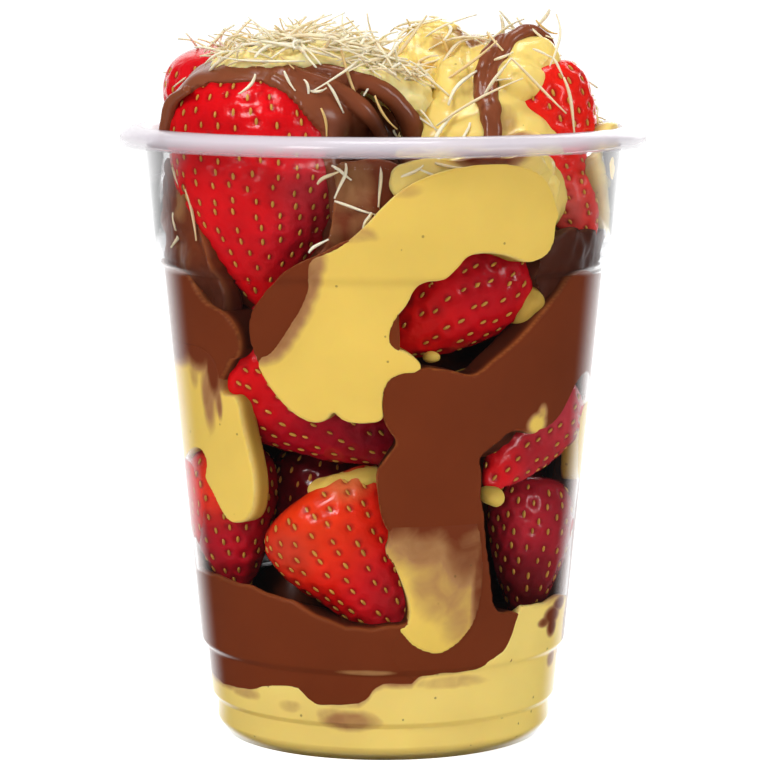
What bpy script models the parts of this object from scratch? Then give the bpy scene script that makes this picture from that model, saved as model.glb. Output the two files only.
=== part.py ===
"""Chocolate strawberry cup: whole strawberries, vanilla cream and chocolate cream in a clear cup.

Metres, +Z up, the cup's axis on Z and its foot on z = 0. The front faces -Y.
Places on the cup's wall are given as an angle in degrees round the axis (0 at the front,
positive to the right) and a height in millimetres above the foot.
"""
import math
import random

import bmesh
import bpy
from mathutils import Matrix, Vector
from mathutils.bvhtree import BVHTree

MM = 0.001

# ---------------------------------------------------------------- driving sizes
WALL = 0.5 * MM               # thickness of the cup's plastic
FLOOR_HEIGHT = 1.0 * MM       # the floor is raised inside the foot ring
GAP = 0.3 * MM                # between touching pieces
CUP_SEGMENTS = 36             # vertices on +-X and +-Y keep the box centred

# Outside of the cup from the foot to under the rim: (height, radius) in millimetres.
CUP_OUTSIDE = ((0, 29.9), (2.5, 31.5), (6.2, 31.4), (7.2, 32.5), (16.2, 33.3), (17.4, 34.4),
               (87.6, 41.05), (89.2, 42.37), (110.4, 44.4))
# The rolled rim, from under its lip to its crest.
RIM_SECTION = ((110.7, 47.4), (110.4, 48.7), (110.7, 49.0), (112.3, 49.0), (113.3, 48.2),
               (113.9, 46.7), (114.0, 45.2), (113.2, 44.2))
FOOT_RING_INSIDE = 27.2       # millimetres
FOOT_RING_TAPER = 1.5
FLOOR_CORNER = (1.5, 0.2)     # millimetres up and in: contents round off above the floor
OPEN_TOP = 140                # millimetres: room for what stands above the rim

LAYER_RADIUS = 36.5 * MM      # a little more than the cup's inside at the bottom layers
WRAP_RADIUS = 40 * MM         # flat outlines are wrapped from this radius
WRAP_STEP = 13                # degrees between the folds of a wrapped outline
BEYOND_WALL = 50 * MM         # outlines reach past the wall before they are trimmed to it
LAYER_TURNS = (2.3, 6.1)      # degrees, so that no edges of the cut pieces coincide
CORE_TURN = 4.2
CORE_TOP = 96 * MM
# The chocolate cream in the middle of the cup: (height, radius) in millimetres.
CORE_PROFILE = ((96, 0), (96, 19), (91, 23), (20, 23), (20, 0))

# ---------------------------------------------------------------- strawberries
# name: crown, tip, width, depth over width, facing, fullness (lower is wider near the crown)
FRONT_BERRIES = {
    "berry_top_left": ((-22.8, -18.6, 127), (-24.8, -21.2, 82.5), 32.5, 0.74, (-0.5, -1, 0), 0.68),
    "berry_top_far_left": ((-31, 5, 128), (-27.5, 7, 97), 21, 0.85, (-1, 0.2, 0), 0.50),
    "berry_top_right": ((27, -12, 125.5), (38, -10, 92.5), 18, 0.80, (0.7, -1, 0), 0.45),
    "berry_right_upper": ((24, -20.5, 93), (1, -29.5, 74.5), 21, 0.80, (0.5, -1, 0), 0.55),
    "berry_centre": ((-26.6, -14.2, 77), (4.3, -24.5, 54.8), 29.5, 0.75, (-0.35, -1, 0), 0.50),
    "berry_low_centre": ((-12.6, -19.5, 48), (5.2, -27.4, 21), 26.4, 0.68, (0, -1, -0.2), 0.42),
    "berry_low_left": ((-28.4, -7, 55.5), (-25.5, -10.5, 27), 21, 0.68, (-1, -0.55, 0), 0.55),
    "berry_low_inner": ((-6.5, -2.5, 55), (-11, -1.5, 30), 18, 0.90, (-1, -1, 0), 0.55),
    "berry_right_middle": ((33, -7.5, 67), (18.5, -26.2, 49.5), 17.5, 0.58, (0.8, -1, 0.1), 0.50),
    "berry_low_right": ((28, -7.5, 49), (25.8, -12, 20.5), 20, 0.66, (0.9, -0.6, 0), 0.50),
}
# Strawberries at the sides and back stand along the wall:
# angle, radius and height of the crown, radius and height of the tip, width, lean in degrees
BACK_BERRIES = (
    (112, 24.5, 30, 25.0, 57, 20, -4),
    (160, 24.0, 52, 23.5, 23, 21, 6),
    (-134, 24.5, 57, 24.5, 27, 21, -4),
    (88, 27.5, 93, 27.0, 66, 20, -10),
    (150, 28.0, 62, 27.0, 92, 23, -14),
    (-160, 27.0, 88, 26.5, 61, 21, 6),
    (-110, 28.0, 88, 27.5, 59, 21, 4),
    (112, 30.5, 121, 30.0, 92, 22, -6),
    (163, 29.0, 98, 29.0, 126, 23, 8),
    (-148, 29.5, 124, 29.0, 94, 22, 0),
)
BACK_DEPTH = 0.8
BACK_FULLNESS = 0.5
BERRY_BLUNTNESS = 0.72
PIT_DEPTH = 0.35 * MM
SHOWN_COLUMNS = 14
SHOWN_STATIONS = tuple(step / 10 for step in range(11))   # rings, from the crown to the tip
PLAIN_COLUMNS = 10
PLAIN_STATIONS = tuple(step / 8 for step in range(9))
CUTTER_COLUMNS = 8            # a cutter is coarser, and larger by what its flat sides lose
CUTTER_STATIONS = (0, 0.1, 0.3, 0.5, 0.7, 0.88, 1)
BERRY_CLEARANCE = 3 * GAP     # cream and sauce are cut back this far from a strawberry

# ---------------------------------------------------------------- outlines on the wall
# The thick cream that hangs in folds down the front.
FRONT_FOLD = (
    (-17, 92), (-10, 95), (-5, 98), (0, 102), (5, 105.5), (15, 108.3), (25, 109), (36, 108),
    (42, 105), (46.5, 99), (45, 93.5), (38, 91.2), (30, 92.8), (21, 93), (15, 88.7), (8, 87),
    (4, 82), (2.5, 78), (8, 74.5), (9.5, 72.6), (3, 71.5), (0, 67), (0, 64), (-8, 63),
    (-13.2, 64.8), (-19, 62.8), (-27, 65.5), (-33, 70), (-34.5, 73.5), (-30, 75), (-24, 81),
    (-19, 87))
# Chocolate beside and behind that fold.
FRONT_LOBE = (
    (-37, 79), (-34, 84), (-28, 88), (-22, 91), (-10, 94.5), (0, 100), (2, 84), (0, 66),
    (-20, 64), (-33, 71))
# Chocolate that runs up from the bottom layer and spreads to the right.
RIGHT_COLUMN = (
    (14, 20), (8, 27), (4, 35), (0.5, 40), (1.8, 42.5), (-1.3, 48), (-2, 54), (3, 59.5), (0, 64),
    (0, 68), (3, 71.5), (10, 72.6), (25, 71.2), (38, 77), (52, 85), (58, 88.5), (85, 89),
    (106, 86), (112, 74), (98, 66), (80, 67), (66, 68), (58, 62.5), (46, 59.3), (36, 60),
    (28, 56.5), (29.5, 46), (32.5, 36), (36, 28), (40, 20))
# Cream streak in the lower part of that column.
FRONT_STREAK = (
    (0, 36.5), (4.5, 29.5), (4.5, 25), (8.5, 22.3), (14, 20.5), (21, 21.5), (28, 26), (30, 33),
    (28, 42), (22, 45.5), (12, 46), (5, 43))
# Chocolate under the shoulder at the left, with cream hanging below it.
LEFT_CHOCOLATE = (
    (-116, 72), (-113, 86), (-95, 88.5), (-75, 88.8), (-61, 88.5), (-57, 85), (-50, 82.5),
    (-42, 79), (-40.5, 76), (-44.5, 73.5), (-48, 69), (-52, 64), (-75, 64), (-98, 66))
LEFT_CREAM = (
    (-102, 72), (-88, 71), (-75, 71), (-65, 70.5), (-57, 72), (-53, 70), (-48.5, 68.3),
    (-44, 66.5), (-42, 63), (-39.5, 56), (-38.5, 51), (-41.5, 44.5), (-47, 43), (-54, 45),
    (-61, 50), (-60, 54), (-68, 57.5), (-78, 62), (-92, 58), (-101, 60))
# Cream of the bottom layer, drawn up the wall at the right.
RIGHT_CREAM = (
    (38, 12), (42, 21), (45, 25.5), (55, 26.2), (70, 26.5), (88, 24), (96, 18), (104, 9))
# Chocolate above the shoulder, set back from the wall.
UPPER_FRONT = ((-15, 90), (-16, 104), (-14, 111), (0, 111.5), (10, 108), (0, 98), (-8, 92))
UPPER_LEFT = ((-72, 84), (-72, 95), (-64, 98), (-55, 95), (-46, 86), (-46, 80), (-58, 80))
UPPER_RIGHT = ((47, 81), (45, 90), (50, 95), (62, 97), (76, 95), (86, 91), (87, 82), (66, 80))
UPPER_REACH = 40.8 * MM
# The back is filled like the front.
BACK_COLUMN = (
    (143, 22), (139, 40), (143, 58), (134, 72), (122, 88), (150, 89), (180, 88), (195, 78),
    (184, 64), (178, 46), (182, 22))
BACK_STREAK_TURN = 95         # degrees from the front streak
BACK_STREAK_LIFT = 9
BACK_FOLD_TURN = 202          # the front fold seen in a mirror, turned to the back
BACK_FOLD_LIFT = -3
# Cream and chocolate on the wall reach in to these radii.
FOLD_INNER = 34 * MM
LEFT_INNER = 31 * MM
STREAK_INNER = 30 * MM
BACK_STREAK_INNER = 32 * MM
CHOCOLATE_INNER = 20 * MM
RAISED_INNER = 29 * MM

# Heights of the layers at the wall, in millimetres: (angle, height).
BASE_TOP = ((-180, 13), (-120, 14), (-80, 11.5), (-45, 12), (-33, 13.5), (-22, 10.8), (-8, 11.2),
            (0, 15), (12, 16.5), (36, 17.5), (90, 15), (135, 12), (180, 13))
CHOCOLATE_TOP = ((-180, 30), (-110, 31), (-65, 32), (-45, 31.5), (-28, 29.7), (-11, 25.2),
                 (8, 26.5), (36, 27), (70, 26.5), (120, 29), (180, 30))

# ---------------------------------------------------------------- topping
# Rounded lumps: centre and half sizes in millimetres.
TOPPING_LUMPS = (
    ((15, -3, 109), (24, 26, 20.5)),      # the mound
    ((8, 2, 121), (11, 10, 11)),          # its peak
    ((26, -9, 119), (8, 9, 7.5)),
    ((19, -17, 113), (9, 9, 8)),
    ((4, 24, 110), (22, 15, 13)),         # behind
    ((31, 4, 112), (9, 12, 9)),
)
TOPPING_BOTTOM = CORE_TOP + 1.2 * MM
BELOW_TOPPING = ((-0.06, -0.06, 0.05), (0.06, 0.06, TOPPING_BOTTOM))    # metres
CAP_LUMPS = (
    ((-22, -14, 118.5), (17.5, 15, 11)),  # over the left strawberry
    ((-4, -18, 112), (13, 12, 10.5)),     # draped to the right of it
    ((-33, -9, 114), (6, 10, 9)),
    ((-19, 4, 113), (16, 16, 13)),
)
NEST_LUMPS = (
    ((-13, -6, 122.5), (16, 12, 7)),
    ((-22, 4, 121.5), (13, 11, 7)),
)
DRIZZLE_ROUTE = ((34, -9, 127.8), (29, -12, 127.8), (24, -15, 124.5), (20.5, -18.5, 121.3),
                 (20.5, -22.5, 117.5))
DRIZZLE_RADIUS = 1.2 * MM
LUMP_LATTICE = (14, 9)          # columns and rows of faces
CURVE_MERGE = 0.001 * MM
MERGED = 0.002 * MM
TURNED_MERGE = 0.01 * MM
KEPT_FACES = 0.65               # share of the faces that stay
FLATNESS = math.radians(2.5)    # faces this nearly level with each other are merged

# Fine pastry shreds lie on the topping as straight strips.
SHRED_WIDTH = 0.9 * MM
SHRED_LENGTHS = (7 * MM, 17 * MM)
SHRED_RISES = (0.15, 0.3, 0.3, 0.6)     # how steeply a shred leaves the surface
SHRED_CLEARANCE = 1.0 * MM
SHRED_REACH = 41 * MM         # shreds stay inside the rim
HEAP_TOP = 134.5 * MM
SHRED_SUNK = (0.1, 0.1 * MM)  # share of the length, and depth, that an end lies in the heap
SHRED_CHECKS = 8              # a shred is tested for clearance at this many steps
STEEPEST = 0.25               # lowest upward part of the surface that a shred is laid on
ABOVE_ALL = 200 * MM
SHRED_COUNTS = (21, 22, 6)    # on the nest, the cream and the chocolate cap
SHRED_SEED = 7
SHRED_TRIES = 60

# ---------------------------------------------------------------- colours
CREAM = (0.78, 0.58, 0.14)
CHOCOLATE = (0.19, 0.035, 0.012)
BERRY_RED = (0.68, 0.004, 0.006)
SHRED_GOLD = (0.84, 0.62, 0.30)
CLEAR_PLASTIC = (0.85, 0.87, 0.90)


# ---------------------------------------------------------------- helpers
def clear_scene():
    for item in list(bpy.data.objects):
        bpy.data.objects.remove(item, do_unlink=True)


def new_collection(name):
    collection = bpy.data.collections.new(name)
    bpy.context.scene.collection.children.link(collection)
    return collection


def material(name, colour, roughness, alpha=1.0):
    made = bpy.data.materials.new(name)
    made.use_nodes = True
    shader = made.node_tree.nodes["Principled BSDF"]
    shader.inputs["Base Color"].default_value = (*colour, 1.0)
    shader.inputs["Roughness"].default_value = roughness
    shader.inputs["Alpha"].default_value = alpha
    return made


def face_outward(bm):
    bmesh.ops.recalc_face_normals(bm, faces=bm.faces)
    if bm.calc_volume(signed=True) < 0:
        bmesh.ops.reverse_faces(bm, faces=bm.faces)


def object_from_bmesh(name, bm, collection):
    face_outward(bm)
    mesh = bpy.data.meshes.new(name)
    bm.to_mesh(mesh)
    bm.free()
    made = bpy.data.objects.new(name, mesh)
    collection.objects.link(made)
    return made


def as_cutter(made):
    made.hide_render = True
    made.display_type = "WIRE"
    return made


def evaluated_mesh(made):
    bpy.context.view_layer.update()
    graph = bpy.context.evaluated_depsgraph_get()
    return bpy.data.meshes.new_from_object(made.evaluated_get(graph))


def apply_modifiers(made):
    mesh = evaluated_mesh(made)
    made.modifiers.clear()
    made.data = mesh


def combine(made, others, operation):
    """Join the others to a mesh, cut them out of it, or keep only what they share."""
    for other in others:
        boolean = made.modifiers.new(operation.title(), "BOOLEAN")
        boolean.operation = operation
        boolean.object = other
        boolean.solver = "MANIFOLD"     # EXACT leaves open edges on these many cuts
        apply_modifiers(made)


def put_in_order(bm):
    """Sort the mesh by place, because a Boolean may number its result differently each run."""
    across = Vector((1.0, 37.1, 1409.3))
    bm.verts.sort(key=lambda vert: vert.co.dot(across))
    bm.edges.sort(key=lambda edge: (edge.verts[0].co + edge.verts[1].co).dot(across))
    bm.faces.sort(key=lambda face: face.calc_center_median().dot(across))


def keep_largest_body(made):
    """Drop loose scraps that a cut leaves behind."""
    bm = bmesh.new()
    bm.from_mesh(made.data)
    bmesh.ops.triangulate(bm, faces=bm.faces)
    put_in_order(bm)
    bmesh.ops.dissolve_limit(bm, angle_limit=FLATNESS, verts=bm.verts, edges=bm.edges)
    bmesh.ops.triangulate(bm, faces=bm.faces)
    bmesh.ops.remove_doubles(bm, verts=bm.verts, dist=MERGED)
    bmesh.ops.dissolve_degenerate(bm, edges=bm.edges, dist=MERGED)
    left = set(bm.faces)
    bodies = []
    while left:
        body = {left.pop()}
        front = list(body)
        while front:
            face = front.pop()
            for edge in face.edges:
                for other in edge.link_faces:
                    if other in left:
                        left.discard(other)
                        body.add(other)
                        front.append(other)
        bodies.append(body)
    largest = max(bodies, key=lambda body: sum(face.calc_area() for face in body))
    scraps = [face for face in bm.faces if face not in largest]
    bmesh.ops.delete(bm, geom=scraps, context="FACES")
    put_in_order(bm)
    bm.to_mesh(made.data)
    bm.free()


def simplify(made):
    """Collapse the slivers between many cuts."""
    decimate = made.modifiers.new("Simplify", "DECIMATE")
    decimate.ratio = KEPT_FACES
    apply_modifiers(made)


def grown(made, distance, collection):
    """A copy whose surface lies a given distance outside the original's."""
    bm = bmesh.new()
    bm.from_mesh(made.data)
    bm.normal_update()
    moves = [vert.normal * distance * vert.calc_shell_factor() for vert in bm.verts]
    for vert, move in zip(bm.verts, moves):
        vert.co += move
    return as_cutter(object_from_bmesh(made.name + "_room", bm, collection))


def turned(name, profile, collection):
    """A profile of (height, radius) in millimetres, run round the Z axis."""
    bm = bmesh.new()
    verts = [bm.verts.new((radius * MM, 0, height * MM)) for height, radius in profile]
    for first, second in zip(verts, verts[1:] + verts[:1]):
        bm.edges.new((first, second))
    made = object_from_bmesh(name, bm, collection)
    screw = made.modifiers.new("Turn", "SCREW")
    screw.steps = CUP_SEGMENTS
    screw.render_steps = CUP_SEGMENTS
    screw.use_merge_vertices = True
    screw.merge_threshold = 0.0001
    apply_modifiers(made)
    return made


def recalculated(made):
    bm = bmesh.new()
    bm.from_mesh(made.data)
    bmesh.ops.remove_doubles(bm, verts=bm.verts, dist=TURNED_MERGE)
    loose = [edge for edge in bm.edges if not edge.link_faces]
    bmesh.ops.delete(bm, geom=loose, context="EDGES")
    face_outward(bm)
    bm.to_mesh(made.data)
    bm.free()
    return made


# ---------------------------------------------------------------- the cup and its inside
def cup(collection):
    wall = WALL / MM
    inside = [(height, radius - wall) for height, radius in CUP_OUTSIDE[1:]]
    floor = FLOOR_HEIGHT / MM
    foot = [(floor, 0), (floor, FOOT_RING_INSIDE - FOOT_RING_TAPER), (0, FOOT_RING_INSIDE)]
    inner_floor = [(floor + wall, FOOT_RING_INSIDE), (floor + wall, 0)]
    profile = foot + list(CUP_OUTSIDE + RIM_SECTION) + inside[::-1] + inner_floor
    made = recalculated(turned("cup", profile, collection))
    made.data.shade_smooth()
    made.data.set_sharp_from_angle(angle=math.radians(35))
    return made


def room_inside(collection):
    """The space that the contents may fill, a gap clear of the cup."""
    inset = (WALL + GAP) / MM
    floor = (FLOOR_HEIGHT + WALL + GAP) / MM
    side = [(height, radius - inset) for height, radius in CUP_OUTSIDE[1:]]
    side[0] = (floor, FOOT_RING_INSIDE)
    side.insert(1, (floor + FLOOR_CORNER[0], side[1][1] - FLOOR_CORNER[1]))
    profile = [(floor, 0)] + side + [(OPEN_TOP, side[-1][1]), (OPEN_TOP, 0)]
    return as_cutter(recalculated(turned("room_inside", profile, collection)))


# ---------------------------------------------------------------- food
def berry_radius(along, fullness):
    """Radius over the greatest radius, from the crown at 0 to the tip at 1."""
    return math.sin(math.pi * along ** fullness) ** BERRY_BLUNTNESS


def strawberry(name, berry, columns, stations, collection, growth=0.0, pits=0.0):
    crown, tip, width, depth, facing, fullness = berry
    crown = Vector(crown) * MM
    tip = Vector(tip) * MM
    axis = (tip - crown).normalized()
    crown -= axis * growth
    tip += axis * growth
    front = Vector(facing)
    front = (front - axis * front.dot(axis)).normalized()
    side = axis.cross(front)
    rings = len(stations) - 1
    bm = bmesh.new()
    bmesh.ops.create_uvsphere(bm, u_segments=columns, v_segments=rings, radius=1)
    for vert in bm.verts:
        x, y, z = vert.co
        ring = round(math.acos(max(-1.0, min(1.0, z))) / math.pi * rings)
        along = stations[ring]
        turn = math.atan2(y, x)
        radius = 0.0
        if 0 < ring < rings:
            radius = width / 2 * MM * berry_radius(along, fullness) + growth
            column = round(turn / math.tau * columns)
            radius -= pits * ((ring + column) % 2)
        across = side * math.cos(turn) + front * depth * math.sin(turn)
        vert.co = crown.lerp(tip, along) + across * radius
    made = object_from_bmesh(name, bm, collection)
    made.data.shade_smooth()
    return made


def round_wall(angle, radius, height):
    turn = math.radians(angle)
    return (radius * math.sin(turn), -radius * math.cos(turn), height)


def all_berries():
    berries = dict(FRONT_BERRIES)
    for number, place in enumerate(BACK_BERRIES, 1):
        angle, crown_radius, crown, tip_radius, tip, width, lean = place
        berries[f"berry_back_{number}"] = (
            round_wall(angle, crown_radius, crown), round_wall(angle + lean, tip_radius, tip),
            width, BACK_DEPTH, round_wall(angle + lean / 2, 1, 0), BACK_FULLNESS)
    return berries


def shifted(outline, turn, lift, mirror=False):
    sign = -1 if mirror else 1
    return tuple((turn + sign * angle, height + lift) for angle, height in outline)


def wall_patch(name, outline, inner, collection, outer=BEYOND_WALL, smoothness=2):
    """A smooth outline wrapped round the axis, filled from an inner to an outer radius."""
    curve = bpy.data.curves.new(name, "CURVE")
    curve.dimensions = "2D"
    curve.fill_mode = "BOTH"
    curve.extrude = 0.5
    curve.resolution_u = smoothness
    spline = curve.splines.new("BEZIER")
    spline.bezier_points.add(len(outline) - 1)
    spline.use_cyclic_u = True
    for point, (angle, height) in zip(spline.bezier_points, outline):
        point.co = (math.radians(angle) * WRAP_RADIUS, height * MM, 0)
        point.handle_left_type = "AUTO"
        point.handle_right_type = "AUTO"
    drawn = bpy.data.objects.new(name, curve)
    collection.objects.link(drawn)
    bm = bmesh.new()
    bm.from_mesh(evaluated_mesh(drawn))
    bpy.data.objects.remove(drawn, do_unlink=True)
    bmesh.ops.remove_doubles(bm, verts=bm.verts, dist=CURVE_MERGE)
    angle = min(angle for angle, height in outline) + WRAP_STEP / 3
    while angle < max(angle for angle, height in outline):
        cut = (math.radians(angle) * WRAP_RADIUS, 0, 0)
        angle += WRAP_STEP
        everything = bm.verts[:] + bm.edges[:] + bm.faces[:]
        bmesh.ops.bisect_plane(bm, geom=everything, dist=1e-7, plane_co=cut, plane_no=(1, 0, 0))
    for vert in bm.verts:
        turn = vert.co.x / WRAP_RADIUS
        radius = outer if vert.co.z > 0 else inner
        vert.co = (radius * math.sin(turn), -radius * math.cos(turn), vert.co.y)
    return object_from_bmesh(name, bm, collection)


def height_at(heights, angle):
    for (start, low), (end, high) in zip(heights, heights[1:]):
        if start <= angle <= end:
            part = (angle - start) / (end - start)
            smooth = part * part * (3 - 2 * part)
            return (low + (high - low) * smooth) * MM
    return heights[-1][1] * MM


def layer(name, bottom, top, turn, collection):
    """A disc whose lower and upper faces rise and fall round its edge."""
    bm = bmesh.new()
    bmesh.ops.create_cone(bm, cap_ends=True, segments=CUP_SEGMENTS, radius1=LAYER_RADIUS,
                          radius2=LAYER_RADIUS, depth=2.0)
    caps = [face for face in bm.faces if len(face.verts) > 4]
    bmesh.ops.poke(bm, faces=caps)
    bmesh.ops.rotate(bm, matrix=Matrix.Rotation(math.radians(turn), 3, "Z"), verts=bm.verts)
    for vert in bm.verts:
        heights = top if vert.co.z > 0 else bottom
        centre = sum(height for angle, height in heights) / len(heights) * MM
        angle = math.degrees(math.atan2(vert.co.x, -vert.co.y))
        vert.co.z = height_at(heights, angle) if vert.co.xy.length > 0.5 * LAYER_RADIUS else centre
    return object_from_bmesh(name, bm, collection)


def lump(name, centre, half_sizes, collection):
    bm = bmesh.new()
    bmesh.ops.create_uvsphere(bm, u_segments=LUMP_LATTICE[0], v_segments=LUMP_LATTICE[1], radius=MM)
    bmesh.ops.scale(bm, vec=half_sizes, verts=bm.verts)
    bmesh.ops.translate(bm, vec=Vector(centre) * MM, verts=bm.verts)
    return object_from_bmesh(name, bm, collection)


def lumps(name, places, collection, cutters):
    made = lump(name, *places[0], collection)
    others = [lump(name + "_part", *place, cutters) for place in places[1:]]
    combine(made, others, "UNION")
    for other in others:
        bpy.data.objects.remove(other, do_unlink=True)
    return made


def box(name, low, high, collection):
    bm = bmesh.new()
    bmesh.ops.create_cube(bm, size=1)
    size = Vector(high) - Vector(low)
    bmesh.ops.scale(bm, vec=size, verts=bm.verts)
    bmesh.ops.translate(bm, vec=(Vector(low) + Vector(high)) / 2, verts=bm.verts)
    return as_cutter(object_from_bmesh(name, bm, collection))


def drizzle(name, collection):
    curve = bpy.data.curves.new(name, "CURVE")
    curve.dimensions = "3D"
    curve.bevel_depth = DRIZZLE_RADIUS
    curve.bevel_resolution = 1
    curve.use_fill_caps = True
    curve.resolution_u = 3
    spline = curve.splines.new("BEZIER")
    spline.bezier_points.add(len(DRIZZLE_ROUTE) - 1)
    for point, place in zip(spline.bezier_points, DRIZZLE_ROUTE):
        point.co = Vector(place) * MM
        point.handle_left_type = "AUTO"
        point.handle_right_type = "AUTO"
    drawn = bpy.data.objects.new(name + "_route", curve)
    collection.objects.link(drawn)
    bm = bmesh.new()
    bm.from_mesh(evaluated_mesh(drawn))
    bpy.data.objects.remove(drawn, do_unlink=True)
    bmesh.ops.remove_doubles(bm, verts=bm.verts, dist=CURVE_MERGE)
    return object_from_bmesh(name, bm, collection)


# ---------------------------------------------------------------- shreds
def surface_tree(made):
    bm = bmesh.new()
    bm.from_mesh(made.data)
    tree = BVHTree.FromBMesh(bm)
    bm.free()
    return tree


def is_clear(points, trees):
    """True where every point is outside the other pieces, by the shreds' clearance."""
    for tree in trees:
        for point in points:
            place, normal, index, distance = tree.find_nearest(point)
            sunk = (point - place).dot(normal) < 0 and distance < SHRED_LENGTHS[0]
            if distance < SHRED_CLEARANCE or sunk:
                return False
    return True


def shreds(made, count, others, draw, collection, cutters):
    """Lay straight strips on a piece, each with one end sunk in it."""
    own = surface_tree(made)
    trees = [surface_tree(other) for other in others]
    low = [min(vert.co[axis] for vert in made.data.vertices) for axis in range(2)]
    high = [max(vert.co[axis] for vert in made.data.vertices) for axis in range(2)]
    laid = []
    for attempt in range(count * SHRED_TRIES):
        if len(laid) == count:
            break
        spot = Vector([draw.uniform(low[axis], high[axis]) for axis in range(2)] + [ABOVE_ALL])
        place, normal, index, distance = own.ray_cast(spot, Vector((0, 0, -1)))
        length = draw.uniform(*SHRED_LENGTHS)
        turn = draw.uniform(0, math.tau)
        rise = draw.choice(SHRED_RISES)
        if place is None or normal.z < STEEPEST:
            continue
        flat = Vector((math.cos(turn), math.sin(turn), 0))
        along = (flat - normal * flat.dot(normal)).normalized()
        along = (along + normal * rise).normalized()
        start = place - along * length * SHRED_SUNK[0] - normal * SHRED_SUNK[1]
        steps = [start + along * length * step / SHRED_CHECKS for step in range(SHRED_CHECKS + 1)]
        reach = max(step.xy.length for step in steps)
        if steps[-1].z > HEAP_TOP or reach > SHRED_REACH or not is_clear(steps, trees):
            continue
        frame = along.to_track_quat("Z", "Y").to_matrix().to_4x4()
        bm = bmesh.new()
        bmesh.ops.create_cone(bm, cap_ends=True, segments=3, radius1=SHRED_WIDTH / 2,
                              radius2=SHRED_WIDTH / 2, depth=length)
        bmesh.ops.transform(bm, matrix=Matrix.Translation(start + along * length / 2) @ frame,
                            verts=bm.verts)
        laid.append(object_from_bmesh(f"{made.name}_shred", bm, cutters))
    combine(made, laid, "UNION")
    for strip in laid:
        bpy.data.objects.remove(strip, do_unlink=True)
    keep_largest_body(made)


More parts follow.
